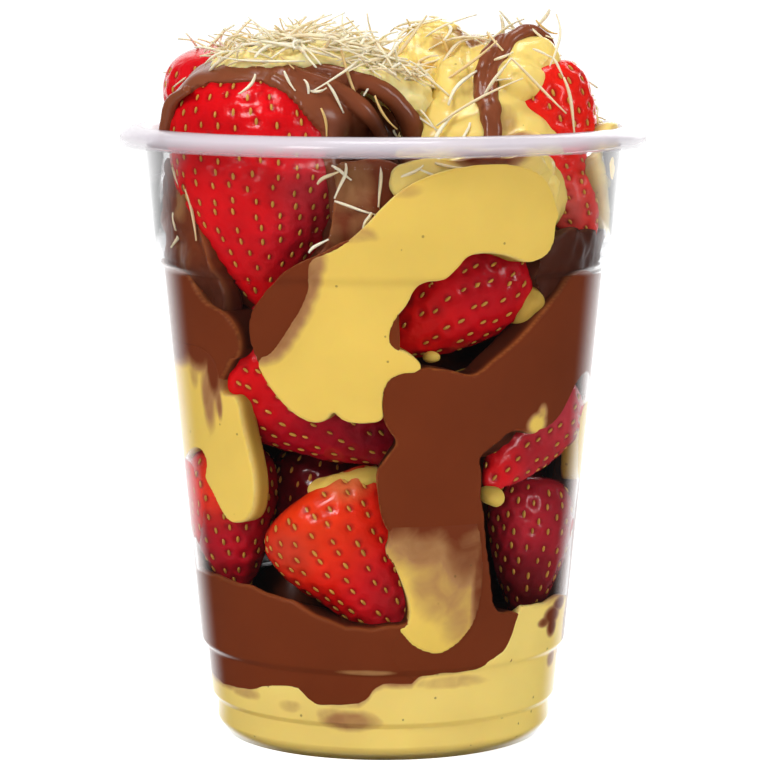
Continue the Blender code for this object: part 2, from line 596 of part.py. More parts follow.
# ---------------------------------------------------------------- assembly
def build():
    clear_scene()
    parts = new_collection("chocolate_strawberry_cup")
    cutters = new_collection("cutters")
    draw = random.Random(SHRED_SEED)
    plastic = material("clear_plastic", CLEAR_PLASTIC, 0.12, alpha=0.3)
    cream = material("vanilla_cream", CREAM, 0.35)
    chocolate_cream = material("chocolate_cream", CHOCOLATE, 0.35)
    berry_skin = material("strawberry", BERRY_RED, 0.3)
    pastry = material("pastry_shreds", SHRED_GOLD, 0.6)

    holder = cup(parts)
    holder.data.materials.append(plastic)
    inside = room_inside(cutters)

    berries = []
    berry_rooms = []
    for name, berry in all_berries().items():
        shows = name in FRONT_BERRIES
        if shows:
            made = strawberry(name, berry, SHOWN_COLUMNS, SHOWN_STATIONS, parts, pits=PIT_DEPTH)
        else:
            made = strawberry(name, berry, PLAIN_COLUMNS, PLAIN_STATIONS, parts)
        made.data.materials.append(berry_skin)
        berries.append(made)
        width = berry[2] * MM
        growth = BERRY_CLEARANCE + width / 2 * (1 - math.cos(math.pi / CUTTER_COLUMNS))
        room = strawberry(name + "_room", berry, CUTTER_COLUMNS, CUTTER_STATIONS, cutters, growth)
        berry_rooms.append(as_cutter(room))

    creams = [
        wall_patch("cream_fold_front", FRONT_FOLD, FOLD_INNER, parts),
        wall_patch("cream_streak_front", FRONT_STREAK, STREAK_INNER, parts),
        wall_patch("cream_left", LEFT_CREAM, LEFT_INNER, parts),
        wall_patch("cream_fold_back", shifted(FRONT_FOLD, BACK_FOLD_TURN, BACK_FOLD_LIFT, True),
                   FOLD_INNER, parts),
        wall_patch("cream_streak_back", shifted(FRONT_STREAK, BACK_STREAK_TURN, BACK_STREAK_LIFT),
                   BACK_STREAK_INNER, parts),
    ]
    base = layer("cream_base", ((-180, -3), (180, -3)), BASE_TOP, LAYER_TURNS[0], parts)
    raised = wall_patch("cream_base_raised", RIGHT_CREAM, RAISED_INNER, cutters)
    combine(base, [raised], "UNION")
    cream_rooms = [grown(made, GAP, cutters) for made in creams + [base]]
    for made in creams:
        combine(made, [inside], "INTERSECT")
        combine(made, berry_rooms, "DIFFERENCE")
    combine(base, [inside], "INTERSECT")
    combine(base, berry_rooms, "DIFFERENCE")

    chocolate = layer("chocolate", BASE_TOP, CHOCOLATE_TOP, LAYER_TURNS[1], parts)
    core = recalculated(turned("chocolate_core", CORE_PROFILE, cutters))
    core.data.transform(Matrix.Rotation(math.radians(CORE_TURN), 4, "Z"))
    sauces = [core]
    for name, outline in (("lobe", FRONT_LOBE), ("right", RIGHT_COLUMN), ("left", LEFT_CHOCOLATE),
                          ("back", BACK_COLUMN)):
        sauces.append(wall_patch("chocolate_" + name, outline, CHOCOLATE_INNER, cutters,
                                 smoothness=1))
    for name, outline in (("upper_front", UPPER_FRONT), ("upper_left", UPPER_LEFT),
                          ("upper_right", UPPER_RIGHT)):
        sauces.append(wall_patch("chocolate_" + name, outline, CHOCOLATE_INNER, cutters,
                                 outer=UPPER_REACH, smoothness=1))
    combine(chocolate, sauces, "UNION")
    combine(chocolate, [inside], "INTERSECT")
    combine(chocolate, berry_rooms + cream_rooms, "DIFFERENCE")

    ribbon = drizzle("chocolate_drizzle", parts)
    topping = lumps("cream_topping", TOPPING_LUMPS, parts, cutters)
    cap = lumps("chocolate_cap", CAP_LUMPS, parts, cutters)
    nest = lumps("shred_nest", NEST_LUMPS, parts, cutters)
    below = box("below_topping", *BELOW_TOPPING, cutters)
    fold_rooms = [room for room in cream_rooms if "fold" in room.name]
    combine(topping, [grown(ribbon, GAP, cutters), below] + berry_rooms + fold_rooms, "DIFFERENCE")
    combine(topping, [inside], "INTERSECT")
    topping_room = grown(topping, GAP, cutters)
    nest_rooms = [grown(nest, GAP, cutters)]
    combine(nest, [topping_room] + berry_rooms, "DIFFERENCE")
    combine(cap, nest_rooms + [topping_room, below] + berry_rooms + fold_rooms, "DIFFERENCE")
    combine(chocolate, [grown(cap, GAP, cutters), topping_room], "DIFFERENCE")
    for made in [base, chocolate, topping, cap, nest] + creams:
        keep_largest_body(made)
        simplify(made)
    solids = [holder, ribbon, topping, cap, nest, chocolate] + creams + berries
    for made, count in zip((nest, topping, cap), SHRED_COUNTS):
        shreds(made, count, [solid for solid in solids if solid is not made], draw, parts, cutters)

    for made in creams + [base, topping]:
        made.data.materials.clear()
        made.data.materials.append(cream)
    for made in (chocolate, cap, ribbon):
        made.data.materials.clear()
        made.data.materials.append(chocolate_cream)
    nest.data.materials.clear()
    nest.data.materials.append(pastry)
    for made in cutters.objects:
        as_cutter(made)


build()
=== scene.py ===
"""Chocolate strawberry cup: whole strawberries, vanilla cream, chocolate cream and fine pastry
shreds in a clear cup.

Metres, +Z up, the cup's axis on Z, its foot on z = 0, its front facing -Y. Places on the wall are
an angle in degrees round the axis (0 at the front, positive to the right) and a height in
millimetres.
"""
import math
import random

import bpy
import numpy as np
from mathutils import Matrix, Vector, noise
from mathutils.bvhtree import BVHTree
from mathutils.kdtree import KDTree


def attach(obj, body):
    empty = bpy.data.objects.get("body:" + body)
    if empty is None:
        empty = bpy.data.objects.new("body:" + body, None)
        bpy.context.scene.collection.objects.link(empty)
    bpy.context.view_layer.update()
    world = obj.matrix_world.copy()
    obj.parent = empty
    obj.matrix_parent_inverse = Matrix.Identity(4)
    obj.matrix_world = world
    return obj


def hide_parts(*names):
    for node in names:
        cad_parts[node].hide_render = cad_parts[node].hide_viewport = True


bl_info = {
    "name": "Chocolate strawberry cup",
    "version": (1, 0),
    "blender": (4, 5, 0),
    "location": "View3D > Sidebar > Strawberry cup",
    "description": "Builds a clear cup of strawberries, cream and chocolate cream, and its stage",
    "category": "Object",
}

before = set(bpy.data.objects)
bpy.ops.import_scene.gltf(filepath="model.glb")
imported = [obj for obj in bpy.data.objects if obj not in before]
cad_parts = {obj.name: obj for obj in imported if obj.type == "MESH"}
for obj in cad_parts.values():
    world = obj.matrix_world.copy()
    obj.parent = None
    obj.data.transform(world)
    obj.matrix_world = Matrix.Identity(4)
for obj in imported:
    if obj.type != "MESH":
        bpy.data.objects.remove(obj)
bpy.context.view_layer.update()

MM = 0.001

# ---------------------------------------------------------------- sizes
WALL = 0.5                     # millimetres, as all lengths in the tables below
BITE = 0.30                    # cream reaches this far into the wall
CHOCOLATE_BITE = 0.12
SMEAR_BITE = 0.42              # covers the seeds of the strawberry under it
CONTACT_BITE = 0.1             # strawberries reach this far into the wall
SEED_BITE = 0.05
CORE_BITE = -0.6               # what fills the middle stays away from the wall
SINKING = 0.6                  # the top of the front streak goes back this far from the wall
SINKING_HEIGHTS = (43, 46.5)
WRAP_RADIUS = 40.0             # flat outlines are wrapped from this radius
CUP_OUTSIDE = ((0, 29.9), (2.5, 31.5), (6.2, 31.4), (7.2, 32.5), (16.2, 33.3), (17.4, 34.4),
               (87.6, 41.05), (89.2, 42.37), (110.4, 44.4))
RIM_SECTION = ((110.7, 47.4), (110.4, 48.7), (110.7, 49.0), (112.3, 49.0), (113.3, 48.2),
               (113.9, 46.7), (114.0, 45.2), (113.2, 44.2))
CORNER_STEPS = 3               # in each rounded corner of the cup's outline
RIM_BOTTOM = 110.45            # plastic higher or further out than this belongs to the rim
RIM_INSIDE = 45.5
# The clear rolled rim is painted a pale tone that grows more solid upwards: painted reflection
RIM_LEVELS = (110.6, 112.8)    # the rim is fainter at the lower level
RIM_ALPHAS = (0.24, 0.84)
RIM_TONE = (0.74, 0.68, 0.74)
FLOOR = 1.0
FOOT_INSIDE = 27.2

# name: crown, tip, width, depth over width, facing, fullness
BERRIES = {
    "berry_top_left": ((-22.2, -18.6, 127), (-21.6, -22.2, 82), 35, 0.72, (-0.5, -1, 0), 0.60),
    "berry_top_far_left": ((-32, 1, 128.2), (-28.5, 5, 97), 22, 0.85, (-1, 0, 0), 0.50),
    "berry_top_right": ((27, -12, 125.5), (38, -10, 92.5), 18, 0.80, (0.7, -1, 0), 0.45),
    "berry_right_upper": ((24, -20.5, 93), (1, -29.5, 74.5), 21, 0.80, (0.5, -1, 0), 0.55),
    "berry_centre": ((-26.6, -14.2, 77), (4.3, -24.5, 54.8), 29.5, 0.75, (-0.35, -1, 0), 0.50),
    "berry_low_centre": ((-12.6, -19.5, 48), (5.2, -27.4, 21), 26.4, 0.68, (0, -1, -0.2), 0.42),
    "berry_low_left": ((-29.4, -7, 55.5), (-26.8, -10.5, 26.5), 22.5, 0.72, (-1, -0.55, 0), 0.55),
    "berry_low_inner": ((-10.5, -8, 55), (-15.5, -8.5, 29), 19, 0.90, (-1, -1, 0), 0.55),
    "berry_right_middle": ((33, -7.5, 67), (18.5, -26.2, 49.5), 17.5, 0.58, (0.8, -1, 0.1), 0.50),
    "berry_low_right": ((28, -7.5, 49), (25.8, -12, 20.5), 20, 0.66, (0.9, -0.6, 0), 0.50),
}
# Strawberries at the sides and back: angle, crown radius and height, tip radius and height,
# width, lean in degrees
BACK_BERRIES = (
    (112, 26.5, 30, 27.0, 57, 20, -4),
    (160, 26.5, 52, 25.5, 23, 21, 6),
    (-134, 27.0, 57, 26.5, 27, 21, -4),
    (88, 27.5, 93, 27.0, 66, 20, -10),
    (150, 28.0, 62, 27.0, 92, 23, -14),
    (-160, 27.0, 88, 26.5, 61, 21, 6),
    (-110, 28.0, 88, 27.5, 59, 21, 4),
    (112, 30.5, 121, 30.0, 92, 22, -6),
    (163, 29.0, 98, 29.0, 126, 23, 8),
    (-148, 29.5, 124, 29.0, 94, 22, 0),
)
BACK_DEPTH = 0.8
BACK_FULLNESS = 0.5
BERRY_BLUNTNESS = 0.72
UNEVEN = (0.035, 0.012)        # coarse and fine unevenness of a strawberry, for its half width
UNEVEN_SCALES = (1.7, 6)
SWELLING = 0.55                # strawberries swell by this and flatten where they touch the wall
# Seeds: half width, half depth and half length, and the middle of one above its dimple's bottom
SEED_SIZES = (0.28, 0.28, 0.66)
SEED_RISE = 0.06
ROW_SPACING = 0.80             # between rows of seeds, for each spacing within a row
ROW_SHIFT = 0.25               # seeds lie off their places by parts of a row and of a step
STEP_SHIFT = 0.16
# Dimples: depth where seeds are this far apart, width, and the raised ring round each
PIT_DEPTH = 0.62
PIT_SPACING = 3.9
PIT_WIDTH = 0.95
RING_HEIGHT = 0.12
RING_RADIUS = 1.9
RING_WIDTH = 0.7
# Layers at the bottom: rings up the side, round the corner and over the top, steps round, the
# corner's radius and how far the bottom edge goes in
LAYER_SIDE = 72
LAYER_CORNER = 5
LAYER_TOP = 8
LAYER_STEPS = 320
LAYER_ROUNDING = 0.7
LAYER_CHAMFER = 1.2
MASS_ROUNDING = 0.7            # of the edges of a mass pressed against the wall
# How far back from its front a mass has a painted highlight along its edge (start, end,
# strength) and painted shade (start, width, strength); the layers at the bottom the same
MASS_EDGE = (0.35, 1.6, 0.6)
MASS_SHADE = (0.7, 1.6, 0.85)
LAYER_EDGE = (0.3, 1.1, 0.35)
LAYER_SHADE = (0.5, 2.5, 0.9)

# ---------------------------------------------------------------- outlines on the wall
FRONT_FOLD = (
    (-17.5, 92.3), (-15, 93.2), (-10, 95), (-5, 98), (0, 102), (5, 105.3), (10, 107.2),
    (15, 108.4), (20, 109), (25, 109.2), (31, 109), (36, 108.2), (40, 106.8), (43, 104.6),
    (45.3, 101.8), (46.6, 99.3), (46, 97.5), (45.8, 95), (44, 92.6), (41, 91.5), (37, 91.3),
    (33, 92.3), (29, 93), (24, 93.2), (21, 92.8), (18, 90.6), (15, 88.8), (10, 88.2), (8, 87),
    (6, 84.3), (3.5, 82), (2.2, 80), (1.8, 78), (3, 76.8), (6, 75.9), (8.6, 74.6), (10, 73),
    (9, 72.2), (5, 71.8), (2, 70.8), (0.3, 68.5), (-0.2, 66), (0, 63.9), (-4, 63), (-8, 63),
    (-11, 63.5), (-12.7, 64.6), (-13.4, 64.9), (-14, 64.4), (-16, 63.2), (-19, 62.8),
    (-23, 63.7), (-27, 65.6), (-30, 67.7), (-33, 70.4), (-34.6, 73.2), (-33.5, 74.2),
    (-30.5, 75.2), (-27, 78), (-24, 80.8), (-21, 84), (-19, 87.5))
FRONT_LOBE = (
    (-36.5, 81), (-35.2, 83), (-33, 84.8), (-28, 88.2), (-22, 91.2), (-15, 93.5), (-8, 96),
    (2, 95), (4, 84), (0, 68), (-12, 67), (-24, 67), (-31.5, 69.4), (-34, 72.2), (-35.3, 74),
    (-36.7, 76.5), (-37.2, 79))
RIGHT_COLUMN = (
    (2, 21), (6, 25.5), (7.6, 26.8), (7.6, 29.5), (5.6, 33.5), (3, 37), (0.6, 39.6), (1.6, 40.8),
    (2, 42.5), (0.5, 44.2), (-0.9, 47), (-1.5, 50), (-1.9, 54), (-0.4, 55.6), (1.6, 57.4),
    (3.6, 59.4), (2, 61.2), (0.2, 63.4), (-0.3, 66), (0, 68.6), (2, 71), (5, 72.3), (10, 72.9),
    (18, 72.3), (25, 71.4), (30, 73.6), (38, 77.2), (45, 81.2), (52, 85.2), (57, 88.1),
    (64, 88.6), (72, 87.5), (90, 87), (106, 85), (112, 74), (98, 60), (86, 63), (76, 68.5),
    (66, 67.5), (60, 63.8), (55, 61.2), (51, 60.2), (48, 60), (46, 59.4), (42, 60.2),
    (36, 60.1), (33, 58.6), (29.5, 57.3), (27.6, 56), (28, 54), (28.6, 51), (28.4, 49.4),
    (29.6, 46), (31, 40), (32.5, 36), (34, 31), (35.4, 28.2), (38, 26.9), (45, 26.3), (50, 22),
    (44, 17), (30, 15), (10, 15))
FRONT_STREAK = (
    (0.6, 39.8), (3, 37.1), (5.6, 33.4), (7.5, 29.6), (7.6, 26.9), (6.8, 25.9), (4.8, 25.2),
    (6.2, 23.8), (8.5, 22.2), (12, 20.9), (17, 20.3), (21, 21.2), (25, 23.2), (28.2, 26),
    (29.8, 29.5), (30.2, 34), (29.6, 39), (28.2, 43), (25, 47), (18, 49), (10, 48), (4, 45.5),
    (1.6, 43.2), (1.4, 41.4))
LEFT_CHOCOLATE = (
    (-116, 72), (-113, 86), (-95, 89), (-75, 88.8), (-65, 88.5), (-60, 87.4), (-57, 85.2),
    (-53.5, 83.4), (-50, 82.5), (-45.5, 81.4), (-42, 79.3), (-40.6, 77), (-40.8, 75),
    (-42.4, 73.6), (-44.2, 73.2), (-45.6, 72), (-47.2, 70.8), (-49, 69), (-49.5, 62),
    (-60, 60), (-80, 62), (-98, 64))
LEFT_CREAM = (
    (-102, 74), (-88, 75), (-75, 75), (-65, 75), (-57, 75), (-51, 73), (-48.8, 69.2),
    (-48.7, 66.9), (-46.5, 66.5), (-44, 66.6), (-42.6, 65.6), (-41.9, 63), (-41, 60),
    (-39.6, 56), (-38.6, 52), (-39, 48), (-41.3, 44.6), (-45, 43.2), (-50, 43), (-54, 45),
    (-57, 47.6), (-60.8, 50.2), (-60, 51.8), (-59.2, 53.2), (-60.4, 54.6), (-63, 55.4),
    (-68, 55), (-74, 53.6), (-80, 52), (-92, 51.5), (-101, 57))
LEFT_SMEAR = (
    (-122, 27), (-125, 42), (-113, 56), (-100, 57), (-92, 56), (-87, 49), (-85, 40), (-81, 34),
    (-79, 30), (-83, 26), (-102, 25))
RIGHT_SMEAR = (
    (79, 20), (78, 30), (77, 40), (80, 49), (84, 57), (87, 66), (98, 66), (102, 48), (98, 32),
    (96, 20), (88, 16))
RIGHT_DAB = (
    (73, 61.5), (77, 63), (84, 62.5), (92, 59), (90, 51), (82, 48), (77, 49), (74, 53), (72, 58))
# Masses at the shoulder and above it, set back from the wall
UPPER_LEFT = (
    (-112, 88), (-108, 100), (-98, 108), (-82, 111.5), (-68, 112), (-59, 110), (-56, 104),
    (-53.5, 97), (-50.5, 90), (-47, 83), (-50, 79), (-70, 79), (-95, 82))
UPPER_MIDDLE = (
    (-24, 80), (-18, 92), (-13.5, 98), (-12.5, 104), (-12.5, 110), (-6, 111), (3, 110.5),
    (5, 106), (3, 98), (-6, 94), (-14, 88), (-18, 78))
UPPER_RIGHT = (
    (44.5, 87), (43.5, 90.5), (46, 93.5), (54, 96.3), (64, 96.3), (76, 96), (90, 95), (98, 88),
    (92, 80), (70, 79), (58, 80), (50, 83))
UPPER_CREAM = (
    (3, 104), (1.5, 108), (5, 110.6), (16, 111), (30, 110.8), (42, 110.5), (47.5, 107), (48, 98),
    (40, 96), (20, 98), (8, 99))
UPPER_CREAM_RIGHT = (
    (83, 96.5), (77, 101), (71, 106), (68, 111), (72, 114), (84, 114), (96, 112), (106, 104),
    (102, 96), (93, 94.5))
UPPER_BACK = (
    (104, 84), (100, 96), (112, 108), (140, 111), (180, 111), (214, 111), (244, 106), (250, 94),
    (244, 84), (200, 80), (150, 81))
BACK_COLUMN = (
    (143, 22), (139, 40), (143, 58), (134, 72), (122, 88), (150, 89), (180, 88), (195, 78),
    (184, 64), (178, 46), (182, 22))
BACK_STREAK_TURN = 95
BACK_STREAK_LIFT = 9
BACK_FOLD_TURN = 202
BACK_FOLD_LIFT = -3

# Boundary of the vanilla cream at the bottom, and top of the chocolate above it.
BASE_TOP = (
    (-180, 13), (-150, 11), (-125, 14.5), (-100, 12.5), (-80, 11.5), (-60, 11), (-45, 12),
    (-38, 13.4), (-31, 13.7), (-28, 13.3), (-25, 11.6), (-22, 10.9), (-15, 10.8), (-8, 11.2),
    (-5, 12.4), (-3, 14.3), (0, 15), (9, 15), (12, 16.8), (22, 17), (30, 17.3), (36, 18.5),
    (40, 20), (42.5, 22.4), (44.5, 26), (46, 27.6), (52, 27), (66, 27.6), (75, 27), (88, 24),
    (96, 17), (110, 14), (135, 12), (160, 14.5), (180, 13))
CHOCOLATE_TOP = (
    (-180, 30), (-150, 32.5), (-110, 31), (-80, 31.4), (-65, 32), (-55, 31.8), (-45, 31.5),
    (-35, 30.5), (-28, 29.7), (-25, 28.7), (-18, 27), (-11, 25.3), (-5, 25.4), (0, 25.6),
    (5, 25.8), (8, 26.5), (36, 27), (45, 26.2), (51, 25.8), (55, 26.1), (65, 26.8),
    (85, 26), (105, 29.5), (140, 27), (180, 30))

# Stains: angle, height, half width in degrees, half height, strength
BASE_STAINS = (
    (-11, 7.6, 9, 2.0, 0.55), (-16, 8.6, 6, 1.4, 0.30), (-31, 9.5, 5, 1.2, 0.25),
    (69, 25.8, 5.0, 1.3, 1.0), (63.5, 24.0, 5.2, 1.7, 1.0), (58.5, 23.2, 3.6, 0.9, 0.9),
    (64.0, 21.9, 3.2, 1.8, 1.0), (80, 21, 3.6, 6, 0.9), (71, 15, 4, 1.6, 0.6),
    (22, 14.6, 13, 1.2, 0.25), (-52, 10.6, 8, 1.2, 0.35),
    (100, 12, 9, 2, 0.5), (150, 8, 12, 2, 0.5), (-150, 9, 12, 2, 0.5), (-120, 7, 9, 1.5, 0.4))
LEFT_STAINS = (
    (-75, 74, 16, 3.4, 1.0), (-58, 74.5, 9, 4.2, 1.0), (-51.5, 71, 3.4, 5.5, 1.0),
    (-55, 66, 3.2, 6.0, 0.55), (-50, 65, 1.3, 3.0, 0.7), (-62, 70, 3.0, 3.0, 0.35),
    (-90, 73, 14, 4.0, 1.0))
STREAK_STAINS = (
    (2, 49.5, 12, 9, 1.0), (12, 49.5, 14, 9, 1.0),
    (23, 49, 13, 10.5, 1.0), (12, 43, 13, 7.5, 0.6), (24, 42, 8, 10, 0.85),
    (16, 34, 8, 8, 0.4), (23, 34, 7, 12, 0.42), (30, 33, 3.6, 14, 0.9))
FOLD_STAINS = (
    (-17.0, 92, 3.4, 3.0, 0.55), (-18.2, 89.5, 3.4, 3.0, 0.6), (-19.4, 87, 3.4, 3.0, 0.6),
    (-21, 84.5, 3.4, 3.0, 0.6), (-23, 82.2, 3.4, 3.0, 0.6), (-25, 80, 3.6, 2.8, 0.6),
    (-27.2, 78, 3.8, 2.6, 0.6), (-30, 76, 4, 2.4, 0.55), (-33, 75, 4, 2.2, 0.5),
    (-7, 97, 6, 1.6, 0.3), (4, 104.6, 5, 1.4, 0.25))
COLUMN_STAINS = (
    (46.5, 61.2, 3.6, 1.9, 1.0), (48.5, 63.0, 2.0, 1.8, 0.7), (44, 17, 7, 3, 0.5))
UPPER_STAINS = {
    "upper_cream": ((27, 111, 9, 2.4, 0.95), (44, 101, 4, 3, 0.4)),
    "upper_left": ((-62, 104, 4, 6, 0.4), (-64, 90, 9, 4, 0.15)),
    "upper_middle": ((-9, 106, 7, 5, 0.3), (-5, 98, 4, 5, 0.22), (-14, 96, 4, 5, 0.18))}

# ---------------------------------------------------------------- colours, linear
CREAM = (0.84, 0.585, 0.120)
PALE_CREAM = (0.93, 0.70, 0.20)     # in the base and on top
CREAM_EDGE_HIGHLIGHT = (0.92, 0.72, 0.26)     # painted highlight along the rounded edge of a mass pressed against the wall
# Painted shade: cream on the flanks of masses, over tops further in and in hollows
CREAM_IN_SHADE = (0.34, 0.17, 0.022)
CREAM_GLOW = (1.0, 0.6, 0.22)       # how far red, green and blue light spread under the surface
SPECKS = (0.16, 0.09, 0.03)
TAN = (0.44, 0.22, 0.085)           # where the two creams run together
CHOCOLATE = (0.178, 0.033, 0.008)
# Chocolate cream on top: a lighter copy of the chocolate, as painted light
LIT_SHINY_CHOCOLATE = (0.25, 0.068, 0.027)
# Painted highlight along the rounded edges of chocolate, then painted shade on its flanks and in
# hollows
CHOCOLATE_EDGE_HIGHLIGHT = (0.42, 0.13, 0.035)
CHOCOLATE_IN_SHADE = (0.035, 0.008, 0.004)
BERRY_RED = (0.68, 0.004, 0.006)
WET_RED = (0.90, 0.008, 0.006)      # where a strawberry is pressed against the wall
# Painted shade in the dimples round the seeds
PIT_SHADE_RED = (0.20, 0.003, 0.005)
SEED_GOLD = (0.66, 0.33, 0.045)
SHRED_PALE = (0.97, 0.88, 0.66)
SHRED_GOLDEN = (0.80, 0.50, 0.14)
BED_TONES = ((0.93, 0.74, 0.26), (0.98, 0.86, 0.42))


def wall_radius(heights, bite=BITE):
    """Radius, in millimetres, that contents reach when they go this far into the wall."""
    levels, radii = zip(*CUP_OUTSIDE)
    return np.interp(heights, levels, radii) - WALL + bite


def round_wall(angle, radius, height):
    turn = math.radians(angle)
    return (radius * math.sin(turn), -radius * math.cos(turn), height)


def around_axis(angles, radii, heights):
    """Points, in metres, from angles in radians and radii and heights in millimetres."""
    return np.stack([radii * np.sin(angles), -radii * np.cos(angles), heights], 1) * MM


def angles_of(points):
    return np.arctan2(points[:, 0], -points[:, 1])


# ---------------------------------------------------------------- settings
def colour(name, description, default):
    return bpy.props.FloatVectorProperty(name=name, description=description, default=default,
                                         size=3, min=0, max=1, subtype="COLOR")


class CupSettings(bpy.types.PropertyGroup):
    plastic: colour("Plastic", "Tint of the clear cup", (0.97, 0.975, 0.985))
    segments: bpy.props.IntProperty(name="Segments", description="Faces round the cup",
                                    default=192, min=24, max=512)


class FillingSettings(bpy.types.PropertyGroup):
    cream: colour("Cream", "Vanilla cream pressed against the wall", CREAM)
    pale_cream: colour("Pale cream", "Vanilla cream at the bottom and on top", PALE_CREAM)
    chocolate: colour("Chocolate", "Chocolate cream pressed against the wall", CHOCOLATE)
    # The lighter chocolate on top is painted light
    lit_shiny_chocolate: colour("Shiny chocolate", "Chocolate cream on top", LIT_SHINY_CHOCOLATE)
    grain: bpy.props.FloatProperty(name="Mesh size", description="Spacing of remeshed surfaces",
                                   default=0.6 * MM, min=0.2 * MM, unit="LENGTH")


class BerrySettings(bpy.types.PropertyGroup):
    seed_spacing: bpy.props.FloatProperty(name="Seed spacing", description="Between two seeds",
                                          default=3.6 * MM, min=MM, unit="LENGTH")
    seed: colour("Seeds", "Seeds on the strawberries", SEED_GOLD)


class ShredSettings(bpy.types.PropertyGroup):
    count: bpy.props.IntProperty(name="Shreds", description="Pastry shreds strewn on top",
                                 default=560, min=0, max=2000)
    width: bpy.props.FloatProperty(name="Width", description="Thickness of one shred",
                                   default=0.80 * MM, min=0.1 * MM, unit="LENGTH")
    pale: colour("Pale", "Lightest shreds", SHRED_PALE)
    golden: colour("Golden", "Most toasted shreds", SHRED_GOLDEN)
    seed: bpy.props.IntProperty(name="Seed", description="Changes how the shreds fall", default=5)


def settings(name):
    return getattr(bpy.context.scene, "strawberry_cup_" + name)


# ---------------------------------------------------------------- modelling helpers
def deselect():
    if bpy.context.object and bpy.context.object.mode != "OBJECT":
        bpy.ops.object.mode_set(mode="OBJECT")
    bpy.ops.object.select_all(action="DESELECT")


def only(piece):
    deselect()
    bpy.context.view_layer.objects.active = piece
    piece.select_set(True)


def apply(piece):
    """Apply every modifier in turn."""
    only(piece)
    for name in [modifier.name for modifier in piece.modifiers]:
        bpy.ops.object.modifier_apply(modifier=name)


def remeshed(piece, size, smoothing=3):
    only(piece)
    piece.data.remesh_voxel_size = size
    bpy.ops.object.voxel_remesh()
    smooth = piece.modifiers.new("Smooth", "SMOOTH")
    smooth.factor = 0.5
    smooth.iterations = smoothing
    apply(piece)
    bpy.ops.object.shade_smooth()
    return piece


def joined(name, pieces):
    deselect()
    for piece in pieces:
        piece.select_set(True)
    bpy.context.view_layer.objects.active = pieces[0]
    if len(pieces) > 1:
        bpy.ops.object.join()
    pieces[0].name = pieces[0].data.name = name
    return pieces[0]


def points_of(piece):
    flat = np.zeros(len(piece.data.vertices) * 3)
    piece.data.vertices.foreach_get("co", flat)
    return flat.reshape(-1, 3)


def set_points(piece, points):
    piece.data.vertices.foreach_set("co", np.ascontiguousarray(points, float).ravel())
    piece.data.update()


def write_values(piece, name, values):
    """Store a number for each vertex, which materials read by name."""
    stored = piece.data.attributes
    attribute = stored.get(name) or stored.new(name, "FLOAT", "POINT")
    every = np.zeros(len(piece.data.vertices)) + values
    attribute.data.foreach_set("value", every.astype(np.float32))


def write_colours(piece, name, colours):
    attribute = piece.data.attributes.new(name, "FLOAT_COLOR", "POINT")
    rows = np.ones((len(piece.data.vertices), 4), np.float32)
    rows[:, :3] = colours
    attribute.data.foreach_set("color", rows.ravel())


def write_painted_light_and_shade(piece, back, edge, depth):
    """Write a painted highlight along a mass's edge and painted shade further back, from how far back
    each vertex lies.
    """
    start, end, strength = edge
    write_values(piece, "edge", np.clip(back / start, 0, 1) * np.clip(end - back, 0, 1) * strength)
    start, width, strength = depth
    write_values(piece, "deep", np.clip((back - start) / width, 0, 1) * strength)


def made_object(name, points, faces):
    mesh = bpy.data.meshes.new(name)
    mesh.from_pydata([tuple(point) for point in points], [], faces)
    made = bpy.data.objects.new(name, mesh)
    bpy.context.collection.objects.link(made)
    return made


def faced_outwards(piece, merging=0.0):
    """Merge points that lie closer than merging, turn every face outwards and shade smooth."""
    only(piece)
    bpy.ops.object.mode_set(mode="EDIT")
    bpy.ops.mesh.select_all(action="SELECT")
    if merging:
        bpy.ops.mesh.remove_doubles(threshold=merging)
    bpy.ops.mesh.normals_make_consistent(inside=False)
    bpy.ops.object.mode_set(mode="OBJECT")
    bpy.ops.object.shade_smooth()
    return piece


def turned(name, rings, steps, place):
    """Spin a wire round Z, then put each ring where place(ring, angles) says: radii, heights."""
    deselect()
    bpy.ops.mesh.primitive_plane_add(size=MM)
    piece = bpy.context.object
    piece.name = piece.data.name = name
    bpy.ops.object.mode_set(mode="EDIT")
    bpy.ops.mesh.select_all(action="SELECT")
    bpy.ops.mesh.merge(type="CENTER")
    bpy.ops.transform.translate(value=(MM, 0, 0))
    for ring in range(rings - 1):
        bpy.ops.mesh.extrude_region_move(TRANSFORM_OT_translate={"value": (MM, 0, 0)})
    bpy.ops.mesh.select_all(action="SELECT")
    bpy.ops.mesh.spin(steps=steps, angle=math.tau, center=(0, 0, 0), axis=(0, 0, 1))
    bpy.ops.mesh.select_all(action="SELECT")
    bpy.ops.mesh.remove_doubles(threshold=0.01 * MM)
    bpy.ops.object.mode_set(mode="OBJECT")
    points = points_of(piece)
    rings_of = np.rint(np.hypot(points[:, 0], points[:, 1]) / MM).astype(int) - 1
    angles = angles_of(points)
    radii, heights = place(rings_of, angles)
    set_points(piece, around_axis(angles, radii, heights))
    return faced_outwards(piece, 0.02 * MM)


def round_corners(points, radius):
    """Replace the corners of an open outline by short curves."""
    points = [np.array(point, float) for point in points]
    made = [points[0]]
    for before, corner, after in zip(points, points[1:], points[2:]):
        back, ahead = before - corner, after - corner
        reach = min(radius, 0.45 * np.linalg.norm(back), 0.45 * np.linalg.norm(ahead))
        start = corner + back / np.linalg.norm(back) * reach
        end = corner + ahead / np.linalg.norm(ahead) * reach
        for part in np.linspace(0, 1, CORNER_STEPS + 1):
            made.append((1 - part) ** 2 * start + 2 * part * (1 - part) * corner + part ** 2 * end)
    made.append(points[-1])
    return made


